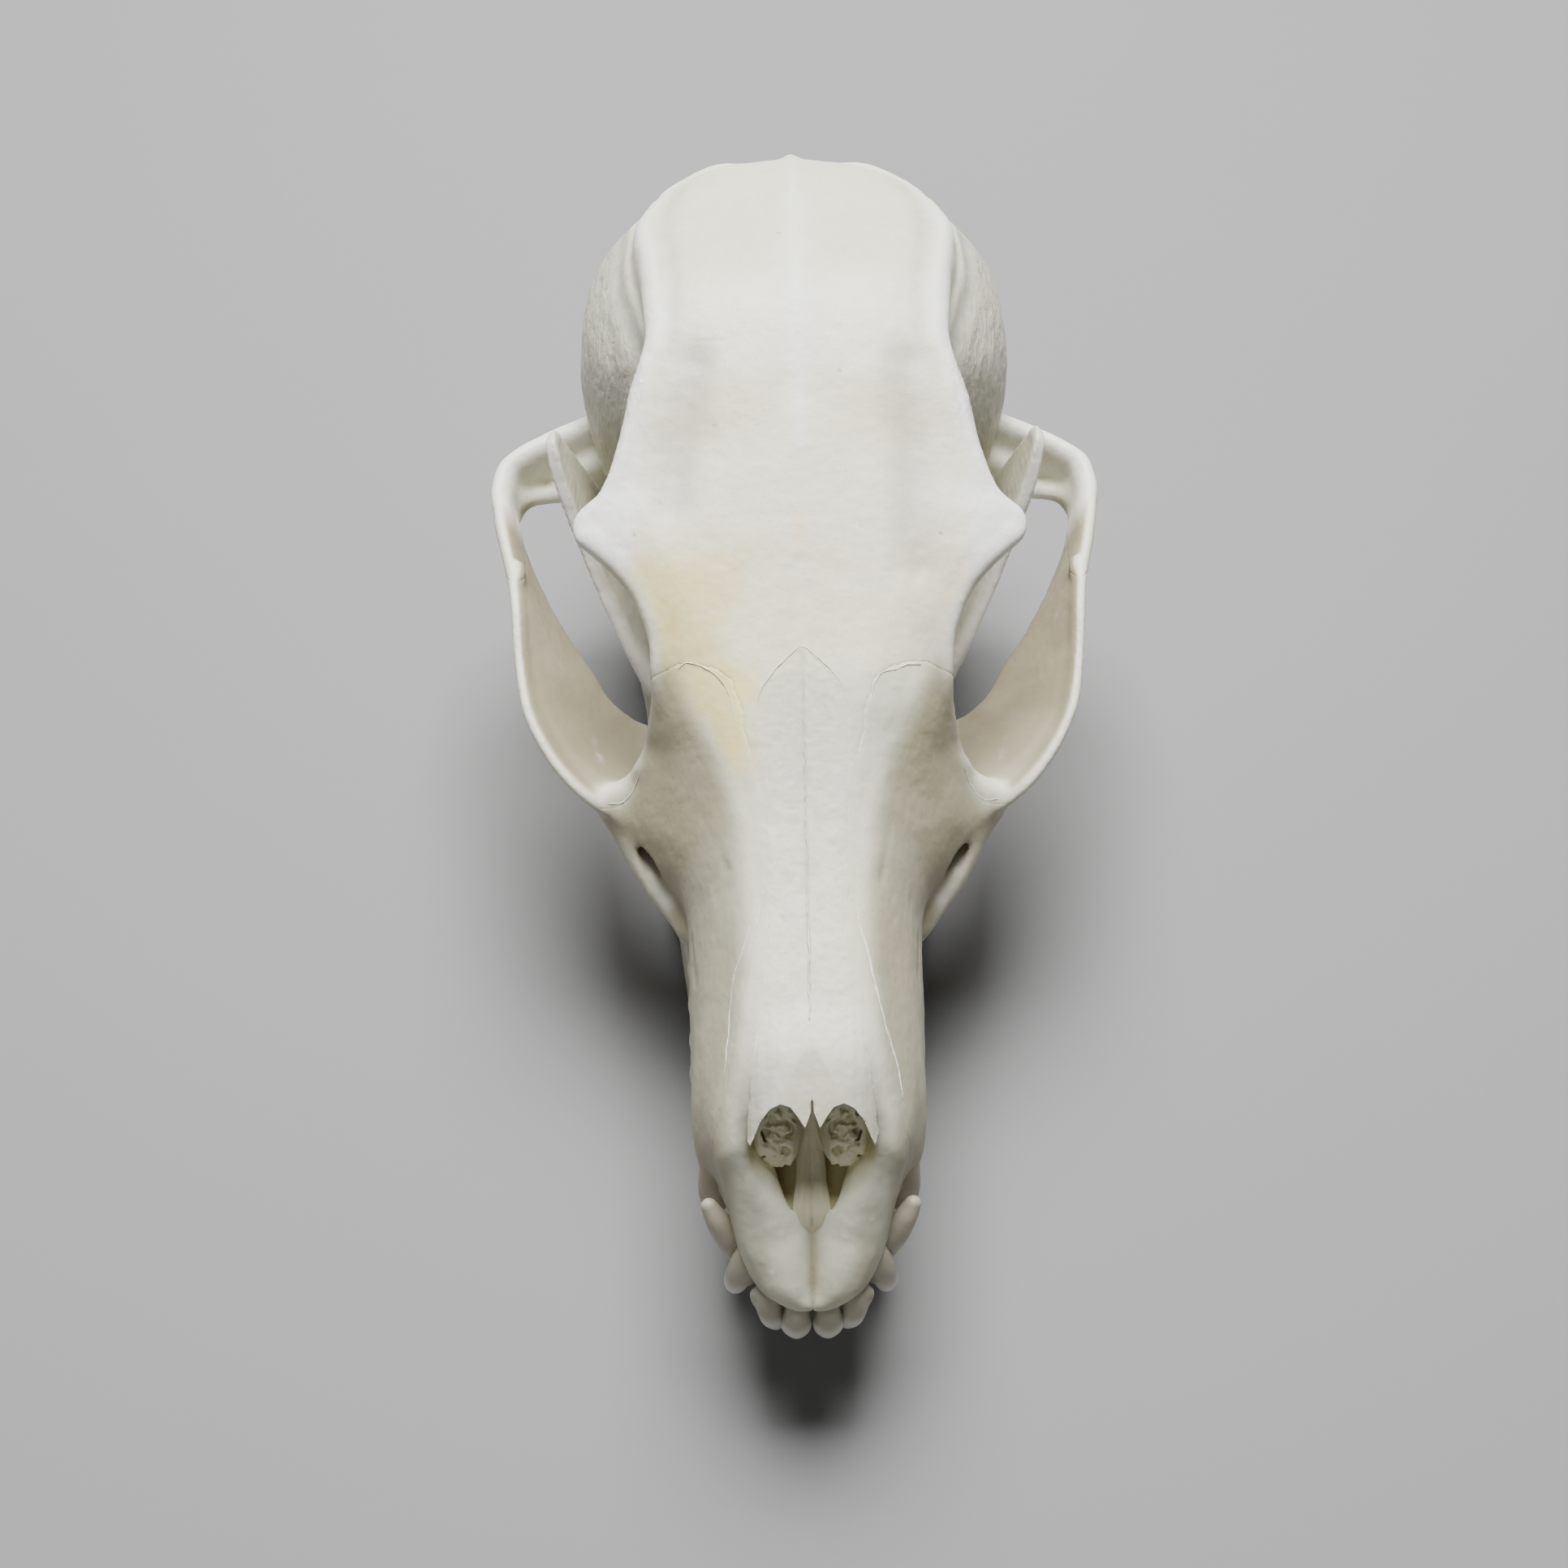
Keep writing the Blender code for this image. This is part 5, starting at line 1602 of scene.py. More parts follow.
@dataclass(frozen=True)
class CraniumCut:
    """Cuts the cranium's block along the sutures and dresses what comes off."""

    plan: Cranium
    blocks: CraniumBlocks
    material: bpy.types.Material
    lap: float = 0.7
    middle_lap: float = 0.12
    forehead_end: float = 78.0
    nape_start: float = 101.0
    jitter: float = 0.16
    # The frontal's front edge leans back upwards from its height in plan, up to a greatest height.
    lean: float = 0.42
    lean_height: float = 22.5
    lean_top: float = 26.0

    def wavy(self, corners: Knots, seed: int) -> Knots:
        """An outline with points added and moved a little, as sutures wander."""
        rows = np.array([(x, s, 0.0) for x, s in corners])
        fine = []
        for a, b in zip(rows, rows[1:]):
            count = max(1, int(np.linalg.norm(b - a) / 0.6))
            fine += [a + (b - a) * i / count for i in range(count)]
        fine = np.array(fine + [rows[-1]])
        grain = Grain(seed)
        fine[1:-1, 0] += self.jitter * grain.at(fine[1:-1], 1.1, 2)
        fine[1:-1, 1] += self.jitter * grain.at(fine[1:-1] + 20, 1.1, 2)
        return tuple((float(x), float(s)) for x, s, _ in fine)

    def region(self, corners: Knots, side: Side, window: Window, lean: float = 0.0) -> Array:
        """Distance in plan to a region of one side.

        Args:
            corners: its outline, x away from the middle.
            side: which side it is on.
            window: the part of the block to measure over.
            lean: how far s shifts for each millimetre up from the forehead's height.
        Returns:
            The distances, in a shape that spreads over the window.
        """
        volume = self.blocks.whole
        x, s, z = volume.axes(window)
        across = side.value * x[:, :, 0]
        if not lean:
            return polygon_distance(corners, across, s[:, :, 0])[:, :, None].astype(np.float32)
        steps = np.arange(s[0, 0, 0] - 20, s[0, -1, 0] + 20, volume.voxel)
        flat = polygon_distance(corners, across, steps[None, :]).astype(np.float32)
        found = np.empty([part.stop - part.start for part in window], np.float32)
        for k, height in enumerate(z[0, 0]):
            shift = lean * (min(float(height), self.lean_top) - self.lean_height)
            at = (s[0, :, 0] + shift - steps[0]) / volume.voxel
            low = np.floor(at).astype(int)
            t = (at - low).astype(np.float32)
            found[:, :, k] = flat[:, low] * (1 - t) + flat[:, low + 1] * t
        return found

    def rear(self, side: Side, window: Window) -> Array:
        """Distance to what lies behind the frontal's front edge."""
        line = self.wavy(self.plan.frontal_edge, 21)
        return self.region(line + ((40.0, 130.0), (-1.0, 130.0), (-1.0, 53.9)), side, window, self.lean)

    def nasal_line(self, side: Side) -> Knots:
        """The nasal's outline, seen from above."""
        return self.plan.nasal_front + self.wavy(self.plan.nasal_edge, 31 if side is Side.LEFT else 32)

    def thickness(self, s: Array) -> Array:
        """How thick the nasals are at some stations."""
        return self.plan.nasal_edge_thickness + self.plan.nasal_thickness * ease(9.5, 16.0, s)

    def nasal(self, side: Side, window: Window) -> Array:
        """Distance to what the nasal takes out of the block: its outline, down to its lower face."""
        s, z = self.blocks.whole.axes(window)[1:]
        above = z - self.blocks.roof[window[:2]][:, :, None]
        above = np.where(np.isnan(above), EMPTY, above).astype(np.float32)
        outline = self.region(self.nasal_line(side), side, window)
        return np.maximum(outline, -above - self.thickness(s) - self.lap)

    def nasal_bone(self, side: Side) -> Surface:
        """One nasal, on a finer grid than the block's."""
        sign = side.value
        corners = np.array([(-0.6 * sign, 5.0, 7.0), (8.0 * sign, 56.0, 27.0)])
        fine = Volume(tuple(corners.min(axis=0)), tuple(corners.max(axis=0)), self.blocks.whole.voxel / 2)
        window = tuple(slice(0, n) for n in fine.field.shape)
        x, s, z = fine.axes(window)
        flat = np.stack(np.broadcast_arrays(x[:, :, 0], s[:, :, 0]), axis=-1)
        at = flat.reshape(-1, 2) / self.blocks.whole.voxel - self.blocks.whole.start[:2]
        roof = heights_at(self.blocks.roof, at).reshape(flat.shape[:2])[:, :, None]
        outline = polygon_distance(self.nasal_line(side), sign * x[:, :, 0], s[:, :, 0])[:, :, None]
        above = (z - roof).astype(np.float32)
        under = (-above - self.thickness(s)).astype(np.float32)
        limits = (outline.astype(np.float32), above, under, -sign * x)
        return fine.mesh(window, *limits, alone=True)

    def premaxilla(self, side: Side, window: Window) -> Array:
        """Distance to the premaxilla's region."""
        s, z = self.blocks.whole.axes(window)[1:]
        line = self.wavy(self.plan.premaxilla_edge, 41 if side is Side.LEFT else 42)
        front = self.region(((-1.0, -5.0), (13.0, -5.0)) + line + ((-1.0, 31.4),), side, window)
        return np.minimum(np.maximum(s - 12.6, front), np.maximum(front, 6.5 - z))

    def cheek(self, side: Side, window: Window) -> Array:
        """Distance to the cheek bone's region."""
        s, z = self.blocks.whole.axes(window)[1:]
        plan = self.region(self.plan.cheek_edge, side, window)
        end = 0.85 * (0.55 * (s - 73.2) + z - 13.0)
        return deepest(plan, end, s - 88.5)

    def make_pieces(self) -> None:
        """Cut, dress and place every bone; each reaches a little under its neighbours."""
        volume, lap = self.blocks.whole, self.lap
        for side in Side:
            sign = side.value
            front = sorted_window(volume, (-0.6 * sign, -4, -8), (24 * sign, 66, 28))
            own = -self.middle_lap - sign * volume.axes(front)[0]
            premaxilla = self.premaxilla(side, front)
            others = (own, -lap - self.rear(side, front), -lap - self.nasal(side, front))
            self.finish(f"nasal_{side.word}", self.nasal_bone(side), "muzzle")
            self.finish(f"premaxilla_{side.word}", volume.mesh(front, *others, premaxilla), "premaxilla")
            behind = (-lap - premaxilla, -lap - self.cheek(side, front))
            self.finish(f"maxilla_{side.word}", volume.mesh(front, *others, *behind), "muzzle")
            outer = sorted_window(volume, (12 * sign, 40, -2), (35 * sign, 92, 18))
            cheek = self.cheek(side, outer)
            self.finish(f"cheek_bone_{side.word}", volume.mesh(outer, cheek), f"cheek_arch_{side.word}")
        self.make_rear()

    def make_rear(self) -> None:
        """The forehead, the braincase and the nape, cut from one surface so that no seam shows."""
        volume = self.blocks.whole
        window = volume.window(np.array((-40, 40, -15)), np.array((40, 130, 45)))
        regions = [
            deepest(self.rear(side, window), -self.lap - self.cheek(side, window),
                    -self.lap - self.nasal(side, window))
            for side in Side
        ]
        x = volume.axes(window)[0]
        limit = np.where(x > 0, regions[0], regions[1])
        dressed = self.dressed(volume.mesh(window, limit))
        whole = dressed.to_object("rear", self.material)
        cuts = (
            ("frontal", None, self.forehead_end, "forehead"),
            ("skull_vault", self.forehead_end, self.nape_start, "braincase"),
            ("nape", self.nape_start, None, "braincase"),
        )
        for name, low, high, node in cuts:
            ride(sliced(whole, name, low, high, arches=name == "skull_vault"), node)
        bpy.data.objects.remove(whole)

    def dressed(self, surface: Surface) -> Surface:
        """A cut surface with its relief and masks."""
        return self.plan.dress(surface, self.blocks)

    def finish(self, name: str, surface: Surface, node: str) -> None:
        """Dress a cut surface and place it."""
        ride(self.dressed(surface).to_object(name, self.material), node)


def sorted_window(volume: Volume, one: Place, other: Place) -> Window:
    """The part of a block between two opposite corners, given in any order."""
    return volume.window(np.minimum(one, other), np.maximum(one, other))


def sliced(
    source: bpy.types.Object, name: str, low: float | None, high: float | None, arches: bool
) -> bpy.types.Object:
    """A copy of a closed piece between two upright planes, with its cut faces filled.

    Args:
        source: the piece.
        name: the copy's name.
        low: the front plane's s in skull millimetres, or None.
        high: the rear plane's, or None.
        arches: whether the copy keeps the arches, which the planes don't cut, or has none of them.
    Returns:
        The copy.
    """
    bm = bmesh.new()
    bm.from_mesh(source.data)
    for at, facing in ((low, -1.0), (high, 1.0)):
        if at is None:
            continue
        place = Vector((0.0, (at - MIDDLE) * MM, 0.0))
        away = Vector((0.0, facing, 0.0))
        everything = [*bm.verts, *bm.edges, *bm.faces]
        bmesh.ops.bisect_plane(bm, geom=everything, dist=1e-7, plane_co=place, plane_no=away)
        gone = []
        for face in bm.faces:
            centre = face.calc_center_median()
            in_arch, beyond = abs(centre.x) > ARCH_SIDE * MM, facing * (centre.y - place.y) > 0
            if (in_arch and not arches) or (beyond and not in_arch):
                gone.append(face)
        bmesh.ops.delete(bm, geom=gone, context="FACES")
        edges = [edge for edge in bm.edges if edge.is_boundary]
        bmesh.ops.triangle_fill(bm, use_beauty=False, use_dissolve=False, edges=edges, normal=away)
    mesh = bpy.data.meshes.new(name)
    bm.to_mesh(mesh)
    bm.free()
    return smooth_object(mesh, source.data.materials[0])


# ---------------------------------------------------------------- suture threads


class TreeBuilder:
    """A Geometry Nodes tree written step by step."""

    def __init__(self, name: str, inputs: dict[str, tuple[str, float | int]]) -> None:
        """Start a tree with a geometry input and named numbers.

        Args:
            name: the tree's name.
            inputs: socket type and default of each number by its name.
        """
        self.tree = bpy.data.node_groups.new(name, "GeometryNodeTree")
        face = self.tree.interface
        face.new_socket("Geometry", in_out="INPUT", socket_type="NodeSocketGeometry")
        for key, (kind, default) in inputs.items():
            face.new_socket(key, in_out="INPUT", socket_type=kind).default_value = default
        face.new_socket("Geometry", in_out="OUTPUT", socket_type="NodeSocketGeometry")
        self.start = self.tree.nodes.new("NodeGroupInput")

    def node(self, kind: str, settings: dict, inputs: dict, output: int | str = 0) -> bpy.types.NodeSocket:
        """Add a node.

        Args:
            kind: its full type.
            settings: properties, set before the inputs.
            inputs: values or sockets by input name or number.
            output: the output to hand back.
        Returns:
            That output.
        """
        made = self.tree.nodes.new(kind)
        for key, value in settings.items():
            setattr(made, key, value)
        for key, value in inputs.items():
            if isinstance(value, bpy.types.NodeSocket):
                self.tree.links.new(value, made.inputs[key])
            else:
                made.inputs[key].default_value = value
        return made.outputs[output]

    def finish(self, shape: bpy.types.NodeSocket,
               material: bpy.types.Material) -> bpy.types.GeometryNodeTree:
        """End the tree with real geometry in a material."""
        real = self.node("GeometryNodeRealizeInstances", {}, {"Geometry": shape})
        dressed = self.node("GeometryNodeSetMaterial", {}, {"Geometry": real, "Material": material})
        end = self.tree.nodes.new("NodeGroupOutput")
        self.tree.links.new(dressed, end.inputs[0])
        return self.tree


def grown(name: str, source: bpy.types.Mesh, tree: bpy.types.GeometryNodeTree,
          **values: float) -> bpy.types.Object:
    """What a Geometry Nodes tree makes of a mesh, as a plain mesh object.

    Args:
        name: the object's name.
        source: the mesh to start from.
        tree: the tree.
        values: the tree's numbers by name, written with _ for a space.
    Returns:
        The object, linked to the scene.
    """
    seed = linked(name + "_seed", source)
    modifier = seed.modifiers.new("tree", "NODES")
    modifier.node_group = tree
    for item in tree.interface.items_tree:
        key = item.name.replace(" ", "_")
        if item.in_out == "INPUT" and key in values:
            modifier[item.identifier] = values[key]
    seed.update_tag()
    bpy.context.view_layer.update()
    shape = bpy.data.meshes.new_from_object(seed.evaluated_get(bpy.context.evaluated_depsgraph_get()))
    shape.name = name
    bpy.data.objects.remove(seed)
    shape.shade_smooth()
    return linked(name, shape)


@dataclass(frozen=True)
class Sutures:
    """The pale raised threads that run along some of the sutures."""

    plan: Cranium
    blocks: CraniumBlocks
    step: float = 0.25
    # Each thread: (x, s) with the animal's left positive, and its radius in millimetres.
    threads: tuple[tuple[Knots, float], ...] = (
        (((0.02, 12.0), (-0.04, 18.0), (0.03, 24.0), (-0.02, 31.0)), 0.08),
        (((0.0, 31.4), (0.07, 34.0), (-0.05, 37.0), (0.03, 41.0), (0.0, 46.0), (0.02, 52.8)), 0.05),
        (((-19.0, 46.0), (-17.8, 46.0), (-16.6, 46.4), (-15.5, 47.6)), 0.07),
        (((19.0, 46.0), (17.8, 46.0), (16.6, 46.4), (15.5, 47.6)), 0.07),
        (((4.1, 28.4), (5.1, 25.6), (5.8, 22.2), (6.5, 19.2), (7.6, 15.7), (8.0, 13.3)), 0.1),
        (((-4.6, 29.5), (-5.6, 26.0), (-6.7, 22.9), (-7.1, 18.6), (-7.5, 15.0)), 0.05),
        (((-3.3, 30.6), (-3.5, 24.6), (-4.2, 19.6), (-4.9, 14.6)), 0.06),
        (((-11.9, 52.3), (-10.9, 52.6), (-10.0, 52.3), (-8.9, 51.6), (-8.2, 51.1), (-7.0, 49.3),
          (-6.2, 46.4)), 0.07),
        (((6.2, 47.6), (6.5, 49.6), (7.6, 51.0), (8.7, 51.4), (9.9, 52.1), (11.2, 52.4)), 0.08),
        (((-4.6, 46.4), (-4.2, 48.6), (-2.9, 50.8), (-1.2, 52.6), (0.0, 53.4), (1.2, 52.5), (2.8, 50.9),
          (3.9, 49.2), (4.6, 46.8)), 0.045),
    )

    def height(self, places: Array) -> Array:
        """The top of the bone over (x, s) places.

        Args:
            places: one row each.
        Returns:
            One height for each place.
        """
        x, s, roof = self.blocks.top
        at = np.column_stack([(places[:, 0] - x[0]) / (x[1] - x[0]), (places[:, 1] - s[0]) / (s[1] - s[0])])
        return heights_at(roof, at)

    def lines(self) -> bpy.types.Mesh:
        """All threads as lines with their radii."""
        points, edges, radii = [], [], []
        grain = Grain(51)
        for path, radius in self.threads:
            rows = smoothed_path(tuple((x, s, 0.0) for x, s in path), self.step)
            shift = np.column_stack([grain.at(rows + move, 1.3, 2) for move in (0, 40)])
            rows[:, :2] += 0.06 * shift
            rows[:, 2] = self.height(rows[:, :2]) + 0.4 * radius
            share = np.linspace(0, 1, len(rows))
            ends = np.minimum(1, 8 * np.minimum(share, 1 - share)) ** 0.6
            uneven = 0.75 + 0.5 * grain.at(rows + 80, 1.8, 2)
            first = len(points)
            points += [tuple(row) for row in Surface(rows, np.zeros((0, 4), int)).placed()]
            edges += [(first + i, first + i + 1) for i in range(len(rows) - 1)]
            radii += list(radius * MM * np.clip(ends * uneven, 0.08, 1.4))
        mesh = bpy.data.meshes.new("thread_lines")
        mesh.from_pydata(points, edges, [])
        mesh.attributes.new("thick", "FLOAT", "POINT").data.foreach_set("value", radii)
        return mesh

    def thread_tree(self, material: bpy.types.Material) -> bpy.types.GeometryNodeTree:
        """Tubes along lines, as thick as their points say."""
        made = TreeBuilder("thread_tree", {"Sides": ("NodeSocketInt", 6)})
        curve = made.node("GeometryNodeMeshToCurve", {}, {"Mesh": made.start.outputs[0]})
        thick = made.node("GeometryNodeInputNamedAttribute", dict(data_type="FLOAT"), {"Name": "thick"})
        ring = made.node("GeometryNodeCurvePrimitiveCircle", {},
                         {"Resolution": made.start.outputs[1], "Radius": 1.0})
        tube = made.node(
            "GeometryNodeCurveToMesh", {},
            {"Curve": curve, "Profile Curve": ring, "Scale": thick, "Fill Caps": True},
        )
        return made.finish(tube, material)

    def build(self, material: bpy.types.Material) -> None:
        """Make the threads.

        Args:
            material: their finish.
        """
        ride(grown("suture_threads", self.lines(), self.thread_tree(material), Sides=6))


# ---------------------------------------------------------------- the lower jaw


@dataclass(frozen=True)
class LowerJaw:
    """One half of the lower jaw; the other is its mirror image."""

    voxel: float = 0.3
    # The body from front to back, as rows of (s, inner x, outer x, lower z, upper z).
    profile: Knots = (
        (3.2, 0.15, 2.2, -10.6, -7.6), (4.2, 0.15, 3.3, -12.2, -7), (6.5, 0.15, 4.9, -14.2, -6.8),
        (9.5, 0.15, 6.2, -15.8, -6.9), (13, 0.15, 7, -16.8, -7), (18, 0.7, 8.1, -17.3, -7.2),
        (24, 3.6, 9.2, -17.7, -7.1), (32, 6, 10.7, -17.9, -7), (40, 8, 12.2, -18, -6.9),
        (45, 9.2, 12.9, -18, -6.7), (52, 10.9, 14.8, -18, -6.2), (60, 12.2, 16, -17.3, -5),
        (66, 13.1, 16.3, -16.2, -2.4), (70, 13.7, 16.6, -15.8, 2.4), (74, 14.3, 16.9, -16.2, 7.2),
        (78, 15.2, 17.7, -17.4, 12), (81, 15.8, 18.3, -18, 16), (84.5, 16.2, 18.8, -18, 19.5),
        (86.3, 16.4, 19, -17, 19.8), (88, 16.6, 19.2, -14.8, 18.2), (89.4, 16.7, 19.2, -13.2, 14),
        (90.6, 16.8, 19.3, -12.2, 8.6), (92.2, 17, 19.4, -11.2, 4.8),
    )
    # Its cross-section, in shares of the half width and the height.
    outline: Knots = (
        (-0.35, 0), (0.35, 0), (0.86, 0.07), (1, 0.3), (1, 0.6), (0.85, 0.88), (0.4, 1), (-0.4, 1),
        (-0.85, 0.88), (-1, 0.6), (-1, 0.3), (-0.86, 0.07),
    )
    flare_from: float = -1.0
    flare: float = 0.507
    flare_bend: float = 0.00665
    blade_half: float = 0.46
    # Bars, as rows of (x, s, z, radius): the joint's knob and the front edge of the blade.
    condyle: Knots = ((16.4, 94.2, 3.9, 2.3), (25.6, 93.9, 4.6, 1.85))
    front_edge: Knots = (
        (15.6, 68, -0.4, 0.8), (17.8, 70.5, 2.9, 0.65), (20.3, 73.9, 6.8, 0.46), (22.6, 77.5, 11.3, 0.42),
        (24.1, 80, 14.5, 0.4), (25.6, 83.4, 18.2, 0.4), (25.9, 85.4, 19.3, 0.44), (25.6, 87.2, 18.4, 0.44),
    )

    def plate(self) -> Cast:
        """The body and the blade of the jaw."""
        s = np.linspace(self.profile[0][0], self.profile[-1][0], 230)
        inner, outer, low, high = (smooth(self.profile, column, s) for column in (1, 2, 3, 4))
        middle, half = (inner + outer) / 2, (outer - inner) / 2
        rings = []
        for across, up in self.outline:
            z = low + up * (high - low)
            thin = np.clip((z + 5) / 8, 0, 1)
            width = half + (np.minimum(half, self.blade_half) - half) * thin
            rise = np.maximum(z - self.flare_from, 0.0)
            flare = self.flare * rise - self.flare_bend * rise**2
            rings.append(np.stack([middle + flare + across * width, s, z], axis=1))
        ring = rounded(np.stack(rings, axis=1), 2)
        ring[..., 2] = np.maximum(ring[..., 2], GROUND)
        return loft(ring)

    def bones(self) -> Volume:
        """The left half as a block."""
        block = Volume((-1, -3, -19.5), (32, 101, 23), self.voxel)
        block.unite(self.plate())
        block.add_bar(1.2, *self.condyle, spacing=1)
        block.add_bar(1.6, (18.6, 88, -10, 2), (18.4, 93, -9.6, 1.5), (17.7, 98.4, -6.8, 0.8))
        block.add_bar(1.0, *self.front_edge)
        block.carve(Egg((23.2, 80, -1.5), (4.1, 8.6, 8.2), (0, 22, 0)), blend=1.4)
        block.carve(Egg((13.6, 82, -3), (2.6, 7, 6), (0, 10, 0)), blend=1.6)
        for path in (
            ((9.8, 14.6, -12.4, 0.7), (6.6, 16.4, -12.6, 0.6)),
            ((10.6, 21, -12.6, 0.5), (7.6, 22.6, -12.6, 0.5)),
            ((11, 27, -12.2, 0.4), (9, 28.4, -12.4, 0.4)),
            ((13, 78.4, -6, 0.9), (16.8, 75.4, -7.6, 0.8)),
        ):
            block.cut_bar(0.4, *path, spacing=0.5)
        for x, s, r in ((5.2, 10, 1.5), (5.4, 13.4, 1.1), (6.4, 17.8, 1.2), (6.6, 20.4, 1.2),
                        (7.6, 24.8, 1.3), (7.9, 27.4, 1.3), (9, 32.6, 1.3), (9.4, 35.6, 1.3),
                        (9.9, 40.2, 1.6), (10.4, 44.4, 1.6), (11.6, 48, 1.6), (12.8, 53.4, 1.7),
                        (13.9, 58.4, 1.3)):
            block.add_bar(1.2, (x, s, -8.4, r), (x + 0.1, s, -10.6, r * 0.9))
        block.add_bar(1.4, (1.8, 4.6, -9, 1.1), (4.2, 7.6, -10.2, 1.6), (5.2, 10.6, -12.4, 1.5))
        block.soften(1)
        return block

    def build(self, material: bpy.types.Material) -> None:
        """Make both halves.

        Args:
            material: their finish.
        """
        block = self.bones()
        fine, broad = block.coarse(0.9), block.coarse(2.6)
        surface = block.mesh()
        for side in Side:
            points = surface.points
            normals = block.normals(points)
            masks = worn(points, fine, broad)
            blade = ease(60, 68, points[:, 1]) * ease(-8, -2, points[:, 2])
            # Tan ground, with painted shade on downward faces and on the blade; pale: a painted highlight
            # along the blade's front edge.
            masks[Mask.TAN] = ease(0.2, 0.9, -normals[:, 2]) * 0.4 + 0.35 + 0.4 * blade
            masks[Mask.EDGE] *= 1 - 0.8 * blade
            masks[Mask.FIBRE] = 0.15 * blade
            gap = path_distance(points, smoothed_path(self.front_edge, 0.5)[:, :3], 3.0)
            masks[Mask.PALE] = np.exp(-((gap / 0.9) ** 2))
            seen = points * (side.value, 1, 1)
            lift = 0.05 * Grain(17).at(seen, 0.35, 3) + 0.02 * Grain(19).at(seen, 2.2, 2)
            lift *= ease(GROUND + 0.05, GROUND + 1.2, points[:, 2])
            moved = Surface(points + normals * lift[:, None], surface.faces, masks)
            if side is Side.RIGHT:
                moved = moved.mirrored()
            ride(moved.to_object(f"mandible_{side.word}", material), f"lower_jaw_{side.word}")


# ---------------------------------------------------------------- teeth


@dataclass(frozen=True)
class Cusp:
    """One cusp of a tooth: where it rises from the crown's middle and where its tip is."""

    along: float
    across: float
    height: float
    base: float
    tip: float
    lean: float = 0.0


@dataclass(frozen=True)
class Tooth:
    """A tooth with its crown pointing down in the upper jaw or up in the lower one."""

    x: float
    s: float
    half_length: float
    half_width: float
    neck: float
    crown: float
    yaw: float
    cusps: tuple[Cusp, ...]
    belly: float = 1.3

    def solids(self) -> list[Solid]:
        """The crown's swelling, the cusps and the root."""
        way = math.copysign(1.0, self.crown - self.neck)
        turn = math.radians(self.yaw)
        cos, sin = math.cos(turn), math.sin(turn)

        def at(along: float, across: float, z: float) -> Place:
            return self.x + across * cos + along * sin, self.s + along * cos - across * sin, z

        found: list[Solid] = [
            Egg(at(0, 0, self.neck + way * self.belly * 0.75),
                (self.half_width, self.half_length, self.belly), (0, 0, -self.yaw)),
        ]
        for cusp in self.cusps:
            tall = self.crown - self.neck
            start = at(cusp.along * 0.8, cusp.across * 0.8, self.neck + way * 0.6)
            tip = at(cusp.along + cusp.lean, cusp.across, self.neck + tall * cusp.height - way * cusp.tip)
            found.append(Rod(((*start, cusp.base), (*tip, cusp.tip)), 0.5))
        roots = (-0.5, 0.5) if self.half_length > 1.9 else (0.0,)
        for share in roots:
            low = at(share * self.half_length, 0, self.neck + way * 0.4)
            high = at(share * self.half_length, 0, self.neck - way * 2.6)
            found.append(Rod(((*low, self.half_width * 0.75), (*high, self.half_width * 0.5)), 0.5))
        return found


@dataclass(frozen=True)
class Fang:
    """A canine or an upper incisor: centres along it and the radius at each."""

    path: Knots
    bumps: tuple[Knots, ...] = ()
    # How far the whole tooth takes the neck's darker colour; on the canines it is partly painted shade.
    tone: float = 0.0

    def solids(self) -> list[Solid]:
        """The whole tooth as one tapering bar, with smaller ones for the bumps at its side."""
        return [Rod(path, 0.35) for path in (self.path, *self.bumps)]


